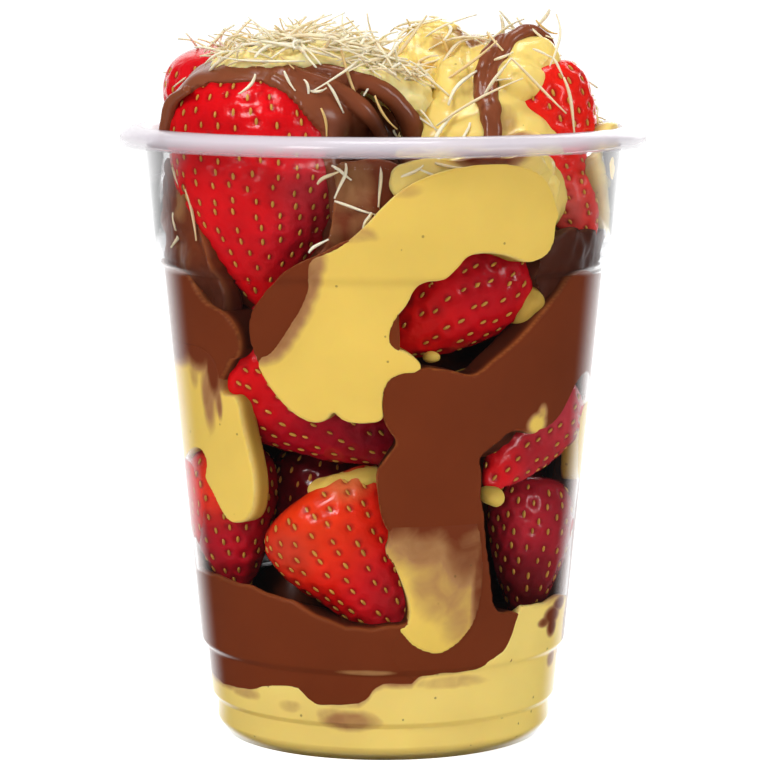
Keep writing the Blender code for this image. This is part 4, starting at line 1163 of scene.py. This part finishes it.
# Cream seen deep between the strawberries
DAB_BLOBS = (
    ((-6, -24, 49.9), (8, 4, 2.7), (0, -12, 0)), ((19.6, -26.5, 48), (2.5, 2.6, 1.8), (0, 25, 0)),
    ((25.4, -24.5, 82.6), (3.6, 3.0, 4.2), (0, 20, 0)), ((8.6, -31, 73.9), (1.7, 1.3, 1.1)),
    ((14.5, -24, 69), (5, 4, 2), (0, -20, 0)))
DAB_PAINTED_SHADE = (((25, -27, 83), 5, 0.6), ((-6, -28, 49), 4, 0.15), ((19.6, -28, 50), 3, 0.25))

MOUND_BLOBS = (
    ((15, -3, 108), (23, 25, 18)), ((9, 1, 121), (9.5, 9, 11)), ((26, -8, 117), (9, 9, 7.5)),
    ((18, -16, 113), (10, 9, 9)), ((4, 24, 110), (21, 14, 13)), ((31, 4, 112), (9, 12, 9)),
    ((26.6, -12.6, 126.2), (5.0, 5.0, 4.6)), ((25, -15.6, 122.2), (5.2, 4.8, 4.6)),
    ((10, -1, 129), (5.5, 5, 3.6)), ((17, -2, 126), (5, 5, 5), (0, 30, 0)),
    ((1.5, -12, 118), (6, 8, 7)), ((36.5, -6, 107), (5, 7, 8)), ((25, -26, 108), (6, 5, 6)),
    ((38, -2, 110.5), (4, 6, 4)), ((10, -25, 109), (9, 6, 4)), ((10, -7, 123.5), (8, 7, 7.5)),
    ((19, -9, 123), (8, 7, 6)))
MOUND_STRANDS = (
    (((8, -3, 129.5), (4.5, -9, 126.5), (3.5, -16, 121), (7, -22, 114)), (2.6, 3.2, 3.2, 2.6)),
    (((14, -5, 128.5), (13, -11, 125.5), (12.5, -18, 120), (15, -24, 113)), (2.6, 3.4, 3.6, 2.6)),
    (((19, -5, 128), (20, -12, 125), (17, -19, 118), (21, -25, 111)), (2.0, 2.6, 2.6, 2.2)),
    (((22, -4, 127), (30, -9, 124), (36, -8, 117), (38, -6, 111)), (2.4, 2.6, 2.6, 2.2)))
MOUND_STAINS = (
    ((16, -6, 130.5), 3.4, 0.6), ((21, -22, 115), 3.5, 0.4), ((24, -28, 111), 4, 0.8),
    ((11, -10, 129), 2.5, 0.3), ((-6, 26, 120), 8, 0.4), ((-4, -16, 117), 4, 0.5))
DRAPE_BLOBS = (
    ((-22, -11, 118), (16.5, 14, 10)), ((-4, -15, 112), (11.5, 10, 11)),
    ((-9, -22.5, 116), (9, 7, 7.5), (0, 30, 0)),
    ((-33.5, -9, 113), (5.5, 10, 10)), ((-19, 4, 113), (16, 16, 13)))
DRAPE_STRANDS = (
    (((-20, -30.5, 124.0), (-14.5, -31.6, 120.2), (-10.2, -31.6, 114.5), (-8.4, -31, 107),
      (-8, -29.5, 100)), (1.0, 1.2, 1.3, 1.5, 1.4)),
    (((-17, -28.5, 124.8), (-9, -29.2, 122.2), (-3.5, -28.6, 118), (0, -27.2, 112),
      (0.5, -26, 105)), (1.2, 1.4, 1.6, 1.5, 1.4)),
    (((-14, -26, 125.2), (-5, -27, 123.4), (1.6, -25.5, 120), (5.2, -24, 114), (5.5, -22, 109)),
     (1.3, 1.6, 1.8, 2.2, 2.0)),
    (((-10, -23, 125.4), (-2, -23.5, 124), (4, -22, 121), (7, -20, 116)), (1.6, 1.8, 1.9, 2.0)),
    (((-35, -26, 121.6), (-38.3, -21, 118.6), (-39.3, -18, 112)), (0.9, 1.2, 1.5)))
# Painted shade in the hollows of the drape, on its right and low down
DRAPE_PAINTED_SHADE = (
    ((-6, -28, 112), 5, 0.8), ((0, -26, 114), 5, 0.85), ((4, -22, 110), 6, 0.8),
    ((-11, -30, 108), 4, 0.5))
# Lower edge of the chocolate on the big strawberry, from left to right: across, height
SHEET_EDGE = (
    (-40, 119), (-37.5, 119.8), (-36, 120.6), (-33, 122.1), (-30.5, 122.8), (-27, 123.1),
    (-22.7, 123.2), (-20.4, 122.6), (-17.5, 121.3), (-15.6, 119.6), (-13.6, 117.7),
    (-12, 115.8), (-10.4, 113.8), (-8, 108))
SHEET_LIFT = 1.15
SHEET_THICKNESS = 2.4
SHEET_BACK = -19               # further back than this the sheet goes down to one height
SHEET_BACK_EDGE = 112.0
NEST_BLOBS = (
    ((-13, -8, 123.5), (15, 12, 6.5)), ((-22, 4, 121), (13, 11, 6.5)),
    ((0, -14, 120.5), (7, 9, 5)), ((-17, -20, 126.2), (14, 8, 3.4), (0, -3, 0)),
    ((-3, -20.5, 123.6), (9, 7, 3.6), (0, 20, 0)), ((4.5, -19.5, 119.5), (4.6, 6, 4.5)),
    ((36, 6, 111.5), (6, 9, 4)))
# The drizzle's two strands side by side, laid on the cream
DRIZZLES = (
    ((31.5, -8, 128), (29, -10, 131), (25, -12.5, 131), (21.4, -15.5, 127), (19.6, -19.5, 121),
     (19.8, -23, 116), (20.8, -26, 111)),
    ((31, -6, 129), (28, -8, 132), (23.5, -10, 131.5), (19.4, -14, 127), (17.6, -19, 121),
     (18.0, -23, 116), (19.0, -26, 111)))
DRIZZLE_RADII = (1.3, 1.5, 1.5, 1.4, 1.3, 1.3, 1.0)


def surface_tree(piece):
    faces = [tuple(face.vertices) for face in piece.data.polygons]
    return BVHTree.FromPolygons([vert.co for vert in piece.data.vertices], faces)


def settled(route, target, lift):
    """The route's points moved onto the surface of the target, a little above it."""
    tree = surface_tree(target)
    laid = []
    for point in route:
        place, normal, index, distance = tree.find_nearest(Vector(point) * MM)
        laid.append((place + normal * lift) / MM)
    return laid


class AddCore(bpy.types.Operator):
    """Add the chocolate cream in the middle, darkened with painted shade where it shows between the
    strawberries
    """
    bl_idname = "strawberry_cup.add_core"
    bl_label = "Chocolate in the middle"

    def execute(self, context):
        dark = chocolate_material("chocolate in the middle", specular=0.3, roughness=0.3)
        core = mass("chocolate_core", CORE_BLOBS, (), 0.9, (7, 2.2, 0))
        # Painted shade: the core is darkened all over, as it shows only in the hollows
        write_values(core, "deep", 0.75)
        shoulder = mass("chocolate_shoulder", SHOULDER_BLOBS, (), 0.7, (5, 1.2, 4))
        for piece in (core, shoulder):
            kept_inside(piece)
            finished(piece, dark, ["chocolate"])
        dabs = mass("cream_dabs", DAB_BLOBS, (), 0.5, (3, 0.6, 2))
        kept_inside(dabs)
        # Painted shade on the dabs that lie in hollows
        spotted(dabs, "deep", DAB_PAINTED_SHADE)
        finished(dabs, cream_material("vanilla cream inside"), ["cream_fold_front"])
        return {"FINISHED"}


def sheet():
    """Chocolate that has run over the crown of the big strawberry, down to an uneven edge."""
    shape = Berry(*BERRIES["berry_top_left"])
    piece, unit, along, turn = unit_ball(120, 90)
    points = shape.points(along, turn, (SWELLING + SHEET_LIFT) * MM)
    set_points(piece, points)
    across, edge = zip(*SHEET_EDGE)
    lowest = np.interp(points[:, 0] / MM, across, edge)
    lowest = np.where(points[:, 1] / MM > SHEET_BACK, SHEET_BACK_EDGE, lowest)
    bpy.ops.object.mode_set(mode="EDIT")
    bpy.ops.mesh.select_mode(type="VERT")
    bpy.ops.mesh.select_all(action="DESELECT")
    bpy.ops.object.mode_set(mode="OBJECT")
    piece.data.vertices.foreach_set("select", points[:, 2] / MM < lowest)
    bpy.ops.object.mode_set(mode="EDIT")
    bpy.ops.mesh.delete(type="VERT")
    bpy.ops.object.mode_set(mode="OBJECT")
    solid = piece.modifiers.new("Thickness", "SOLIDIFY")
    solid.thickness = SHEET_THICKNESS * MM
    solid.offset = -1
    apply(piece)
    return piece


class AddTopping(bpy.types.Operator):
    """Add the mound of cream, the chocolate over the left strawberries and the drizzle"""
    bl_idname = "strawberry_cup.add_topping"
    bl_label = "Topping"

    def execute(self, context):
        cream = cream_material("vanilla cream on top", specular=0.45, roughness=0.25, pale=True)
        # The chocolate on top is the lighter copy: painted light
        chocolate = chocolate_material("chocolate on top", specular=0.45, roughness=0.25,
                                       shiny=True)
        mound = mass("cream_mound", MOUND_BLOBS, MOUND_STRANDS, 0.6, (8, 1.5, 3), (3, 0.5, 6))
        spotted(mound, "stain", MOUND_STAINS)
        finished(mound, cream, ["cream_topping"])
        pieces = [blob(*place) for place in DRAPE_BLOBS]
        pieces += [tube(*strand) for strand in DRAPE_STRANDS] + [sheet()]
        drape = remeshed(joined("chocolate_drape", pieces), 0.5 * MM, 3)
        wobble(drape, (6, 0.7, 8))
        # Painted shade in the drape's hollows
        spotted(drape, "deep", DRAPE_PAINTED_SHADE)
        finished(drape, chocolate, ["chocolate_cap"])
        routes = [(settled(route, mound, 0.4 * MM), DRIZZLE_RADII) for route in DRIZZLES]
        ribbon = mass("chocolate_ribbon", (), routes, 0.4, (3, 0.5, 1), smoothing=4)
        finished(ribbon, chocolate, ["chocolate_drizzle"])
        return {"FINISHED"}


# Shreds that stand out: across and height of one end and of the other, depth, toast
HERO_SHREDS = (
    (-29, 132, -33, 127.5, -6, 0.2), (-18, 132.5, -14.5, 131.5, -8, 0.1),
    (-7, 132, -12, 130, -8, 0.1), (0.5, 130.5, -0.5, 127, -8, 0.1),
    (-28, 128.5, -24, 125, -24, 0.1), (-22.5, 124.5, -25.5, 121, -33, 0.1),
    (-17.5, 125, -15.5, 121.5, -33, 0), (-14, 123.5, -13.5, 119, -32, 0),
    (-13, 121.5, -10, 122, -32, 0.1), (-10, 123, -7, 117.5, -31, 0),
    (-11, 118.5, -10, 113.5, -33, 0.9), (-7.5, 129, -2.5, 116.5, -29, 0.8),
    (-1.5, 120.5, 2.5, 114.5, -29, 0.9), (8.5, 134, 14, 132, 0, 0.15),
    (2, 132, 6, 131, 0, 0.15), (21.5, 134.5, 22, 128, -6, 0.15), (24.5, 134, 29.5, 130, -8, 0.2),
    (30.5, 135.5, 27.5, 131, -8, 0.2), (28, 133.5, 32, 131, -8, 0.9),
    (26.5, 132.5, 32.5, 127, -12, 0.2), (27, 128.5, 30.5, 127, -19, 0.15),
    (30.5, 127, 32.5, 123.5, -19, 0.15), (32.5, 123.5, 34.5, 113.5, -20, 0.3),
    (10, 122, 20.5, 130, -20, 0.7), (9.5, 115, 25, 123.5, -26, 0.35), (18, 120, 23, 127, -23, 0.15),
    (20, 126.5, 23.5, 128, -19, 0.2), (23, 127, 33, 117, -22, 0.4), (6, 117.5, 11.5, 117.5, -22, 0.1),
    (8, 131, 9, 127, -8, 0.1), (10.5, 131, 13.5, 124.5, -12, 0.9), (35.5, 117, 39, 116.5, -6, 0.9),
    (-38, 108, -36, 104, -20, 0.5), (-35.5, 104, -33.5, 94.5, -24, 0.6),
    (-38, 99.5, -37.5, 96, -18, 0.3), (-37.5, 96, -38.5, 92.5, -16, 0.3),
    (-6.5, 110, -8.5, 103.5, -40.9, 0.1), (-8.5, 103, -1, 100.5, -41, 0.1),
    (-0.5, 110, -0.8, 102, -40.8, 0.3), (-11.5, 106, -7.5, 108.5, -40.6, 0.4),
    (-9, 109.5, -5.5, 107, -40.8, 0.05), (-3, 96.5, -5.5, 94, -41, 0.0),
    (-2, 101, -3.5, 98, -41, 0.1), (2, 107, 7, 109.5, -41.4, 0.2), (6, 109, 12, 106.8, -41, 0.1),
    (9, 110, 15, 108.8, -40.4, 0.4), (3, 109, 5, 105, -41.4, 0.3), (-13, 93.5, -9.5, 96, -40.4, 0.0))
SHRED_STATIONS = 8
SHRED_SIDES = 4
HERO_TWIST = 0.15
STREWN_OVER = (42, 40)         # half width and half depth of the area that shreds fall on
STREWN_LENGTHS = (6, 17)
RISES = (0.0, 0.0, 0.08, 0.2, 0.45)     # how much a shred points out of the surface
TOAST = (0.12, 0.24)           # mean and spread
LEAST_LEVEL = 0.12             # steeper places hold no shred
LOWEST_PLACE = 107 * MM
HIGHEST_END = 135.2 * MM
FARTHEST_END = 42.5 * MM
# Few shreds land on the bare front of the topping: how far forward, how low, share that misses
FRONT_FROM = -10 * MM
FRONT_BELOW = 127 * MM
FRONT_MISSED = 0.75


def shred_mesh(name, strands):
    """Thin bent strips: start, end, sideways bow, twist, thickness, toast for each."""
    stations = np.linspace(0, 1, SHRED_STATIONS)
    points, faces, toast = [], [], []
    for start, end, bow, twist, thickness, shade in strands:
        start, end, bow = np.array(start), np.array(end), np.array(bow)
        along = (end - start) / np.linalg.norm(end - start)
        side = np.cross(along, (0.3, 0.2, 0.93))
        side = side / np.linalg.norm(side)
        up = np.cross(side, along)
        first = len(points)
        for part in stations:
            centre = start + (end - start) * part + bow * (4 * part * (1 - part))
            centre = centre + side * twist * math.sin(math.tau * part)
            taper = 0.55 + 0.45 * math.sin(math.pi * min(1, max(0, part * 1.1 + 0.05)))
            for corner in range(SHRED_SIDES):
                turn = math.tau * (corner + 0.5) / SHRED_SIDES
                points.append(centre + thickness * taper * (side * math.cos(turn)
                                                            + up * 0.75 * math.sin(turn)))
        last = len(points) - SHRED_SIDES
        toast += [shade] * (len(points) - first)
        for low in range(first, last, SHRED_SIDES):
            for corner in range(SHRED_SIDES):
                beside = (corner + 1) % SHRED_SIDES
                faces.append((low + corner, low + beside, low + SHRED_SIDES + beside,
                              low + SHRED_SIDES + corner))
        faces.append(tuple(range(first + SHRED_SIDES - 1, first - 1, -1)))
        faces.append(tuple(range(last, last + SHRED_SIDES)))
    made = faced_outwards(made_object(name, points, faces))
    write_values(made, "toast", toast)
    return made


def hero_strands(look, draw):
    strands = []
    for across, high, across_end, low, depth, shade in HERO_SHREDS:
        start = np.array((across, depth + draw.uniform(-0.6, 0.6), high)) * MM
        end = np.array((across_end, depth + draw.uniform(-0.6, 0.6), low)) * MM
        bow = np.array((draw.uniform(-1, 1), draw.uniform(-0.4, 0.4), draw.uniform(-1, 1)))
        strands.append((start, end, bow * 0.6 * MM, HERO_TWIST * MM, look.width / 2, shade))
    return strands


def strewn_strands(target, wanted, bare_front, look, draw):
    """Shreds dropped on the target, each leaning a little out of its surface."""
    tree = surface_tree(target)
    wide, far = STREWN_OVER
    strands = []
    for attempt in range(9000):
        if len(strands) >= wanted:
            break
        spot = Vector((draw.uniform(-wide, wide), draw.uniform(-far, far), 200)) * MM
        place, normal, index, distance = tree.ray_cast(spot, Vector((0, 0, -1)))
        if place is None or normal.z < LEAST_LEVEL or place.z < LOWEST_PLACE:
            continue
        bare = bare_front and place.y < FRONT_FROM and place.z < FRONT_BELOW
        if bare and draw.random() < FRONT_MISSED:
            continue
        length = draw.uniform(*STREWN_LENGTHS) * MM
        turn = draw.uniform(0, math.tau)
        flat = Vector((math.cos(turn), math.sin(turn), 0))
        along = (flat - normal * flat.dot(normal)).normalized()
        along = (along + normal * draw.choice(RISES)).normalized()
        start = place - along * length * draw.uniform(0.3, 0.5) + normal * 0.35 * MM
        end = start + along * length
        if max(start.xy.length, end.xy.length) > FARTHEST_END or end.z > HIGHEST_END:
            continue
        side = along.cross(normal).normalized()
        bow = (side * draw.uniform(-0.14, 0.14) + normal * draw.uniform(0, 0.10)) * length
        strands.append((start, end, bow, draw.uniform(-0.4, 0.4) * MM,
                        look.width / 2 * draw.uniform(0.75, 1.15),
                        min(1, max(0, draw.gauss(*TOAST)))))
    return strands


class AddShreds(bpy.types.Operator):
    """Add the fine pastry shreds strewn over the topping"""
    bl_idname = "strawberry_cup.add_shreds"
    bl_label = "Pastry shreds"

    def execute(self, context):
        look = settings("shreds")
        draw = random.Random(look.seed)
        nest = mass("shred_bed", NEST_BLOBS, (), 0.7, (3, 1.4, 5), (1.4, 0.5, 3))
        made = Shader("pastry shreds", 0.5, IOR=1.45)
        made.set(Base_Color=made.mix(made.attribute("toast"), look.pale, look.golden))
        made.glow_under(0.2, (1.0, 0.7, 0.4), 0.6 * MM)
        bed = Shader("cream under the shreds", 0.45, IOR=1.45)
        bed.set(Base_Color=bed.mix(bed.ramp(bed.noise(260, 3), 0.35, 0.65), *BED_TONES))
        bed.glow_under(0.35, CREAM_GLOW, 1.0 * MM)
        finished(nest, bed.material, ["shred_nest"])
        strands = hero_strands(look, draw)
        for target, share in (("shred_bed", 0.66), ("cream_mound", 0.24),
                              ("chocolate_drape", 0.10)):
            strands += strewn_strands(bpy.data.objects[target], look.count * share,
                                      target != "shred_bed", look, draw)
        finished(shred_mesh("strewn_shreds", strands), made.material, ())
        return {"FINISHED"}


# ---------------------------------------------------------------- stage
WORLD_LIGHT = 0.42             # strength of the white surroundings as light
MIRROR_FRONT = 0.03            # and as seen in shiny surfaces, on the camera's side
MIRROR_BACK = 1.35             # and behind
MIRROR_TURN = (0.62, 0.93)     # how far back a reflection looks where one goes into the other
# Lights: place, size, power
LIGHTS = {"key": ((-0.55, -0.75, 0.75), 0.32, 5.5), "fill": ((0.8, -0.6, 0.4), 0.3, 2.2),
          "top": ((0.0, 0.1, 1.1), 0.4, 4), "back": ((0.3, 0.9, 0.5), 0.7, 3)}
LIGHTS_AIM = (0, 0, 0.065)
CAMERA_PLACE = (0.00015, -0.626, 0.1445)
CAMERA_DOWN = 7.22             # degrees
CAMERA_LENS = 157.03
BOUNCES = {"max_bounces": 12, "transmission_bounces": 10, "transparent_max_bounces": 12,
           "diffuse_bounces": 4}


def seen_directly(made):
    """1 where the eye looks straight or through clear plastic, and 1 before any reflection."""
    path = made.node("ShaderNodeLightPath").outputs
    seen = made.calculate(path["Is Camera Ray"], "MAXIMUM", path["Is Transmission Ray"])
    plain = made.calculate(path["Glossy Depth"], "LESS_THAN", 0.5)
    return made.calculate(seen, "MULTIPLY", plain), plain


def light_world(tree):
    """White surroundings that light evenly and mirror only from behind."""
    made = Nodes(tree)
    seen, plain = seen_directly(made)
    behind = made.node("ShaderNodeSeparateXYZ", {0: made.place("Generated")}).outputs["Y"]
    mirror = made.ramp(behind, *MIRROR_TURN, MIRROR_FRONT, MIRROR_BACK,
                       interpolation_type="SMOOTHSTEP")
    even = made.calculate(WORLD_LIGHT, "ADD", made.calculate(seen, "MULTIPLY", 1 - WORLD_LIGHT))
    shiny = made.calculate(mirror, "MULTIPLY", made.calculate(1.0, "SUBTRACT", plain))
    strength = made.calculate(shiny, "ADD", made.calculate(plain, "MULTIPLY", even))
    made.fill(tree.nodes["Background"], {"Color": (1, 1, 1), "Strength": strength})


class AddStage(bpy.types.Operator):
    """Add the pale floor, the soft studio lights and the camera"""
    bl_idname = "strawberry_cup.add_stage"
    bl_label = "Stage"

    def execute(self, context):
        deselect()
        bpy.ops.mesh.primitive_plane_add(size=40, location=(0, 12, -0.0002))
        floor = context.object
        floor.name = "floor"
        paper = Shader("pale floor", 0.9, Base_Color=(0.86, 0.86, 0.86), Specular_IOR_Level=0.0,
                       Emission_Color=(1, 1, 1))
        seen, plain = seen_directly(paper)
        paper.set(Emission_Strength=paper.ramp(seen, 0, 1, 0, 0.8))
        paper.surface(plain, paper.node("ShaderNodeBsdfTransparent"), paper.shader)
        floor.data.materials.append(paper.material)
        floor.visible_glossy = False
        for name, (place, size, power) in LIGHTS.items():
            bpy.ops.object.light_add(type="AREA", location=place)
            lamp = context.object
            lamp.name = name + "_light"
            lamp.data.size = size
            lamp.data.energy = power
            aim = Vector(LIGHTS_AIM) - Vector(place)
            lamp.rotation_euler = aim.to_track_quat("-Z", "Y").to_euler()
        scene = context.scene
        world = bpy.data.worlds.new("studio")
        scene.world = world
        world.use_nodes = True
        light_world(world.node_tree)
        bpy.ops.object.camera_add(location=CAMERA_PLACE,
                                  rotation=(math.radians(90 - CAMERA_DOWN), 0, 0))
        camera = context.object
        camera.data.lens = CAMERA_LENS
        camera.data.sensor_width = 36
        camera.data.clip_start = 0.01
        scene.camera = camera
        scene.view_settings.view_transform = "Standard"
        for kind, count in BOUNCES.items():
            setattr(scene.cycles, kind, count)
        return {"FINISHED"}


class StrawberryCupPanel(bpy.types.Panel):
    """Steps that build the cup, in order"""
    bl_label = "Strawberry cup"
    bl_idname = "VIEW3D_PT_strawberry_cup"
    bl_space_type = "VIEW_3D"
    bl_region_type = "UI"
    bl_category = "Strawberry cup"

    def draw(self, context):
        for operator in OPERATORS:
            self.layout.operator(operator.bl_idname)
        for name in GROUPS:
            for key in GROUPS[name].__annotations__:
                self.layout.prop(settings(name), key)


OPERATORS = (AddCup, AddBaseLayers, AddWallCream, AddWallChocolate, AddCore, AddStrawberries,
             AddTopping, AddShreds, AddStage)
GROUPS = {"cup": CupSettings, "filling": FillingSettings, "berry": BerrySettings,
          "shreds": ShredSettings}


def register():
    for name, group in GROUPS.items():
        bpy.utils.register_class(group)
        setattr(bpy.types.Scene, "strawberry_cup_" + name, bpy.props.PointerProperty(type=group))
    for operator in OPERATORS:
        bpy.utils.register_class(operator)
    bpy.utils.register_class(StrawberryCupPanel)


def unregister():
    bpy.utils.unregister_class(StrawberryCupPanel)
    for operator in reversed(OPERATORS):
        bpy.utils.unregister_class(operator)
    for name, group in GROUPS.items():
        delattr(bpy.types.Scene, "strawberry_cup_" + name)
        bpy.utils.unregister_class(group)


def main():
    register()
    deselect()
    bpy.ops.strawberry_cup.add_cup()
    bpy.ops.strawberry_cup.add_base_layers()
    bpy.ops.strawberry_cup.add_wall_cream()
    bpy.ops.strawberry_cup.add_wall_chocolate()
    bpy.ops.strawberry_cup.add_core()
    bpy.ops.strawberry_cup.add_strawberries()
    bpy.ops.strawberry_cup.add_topping()
    bpy.ops.strawberry_cup.add_shreds()
    bpy.ops.strawberry_cup.add_stage()
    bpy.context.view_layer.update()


if __name__ == "__main__":
    main()
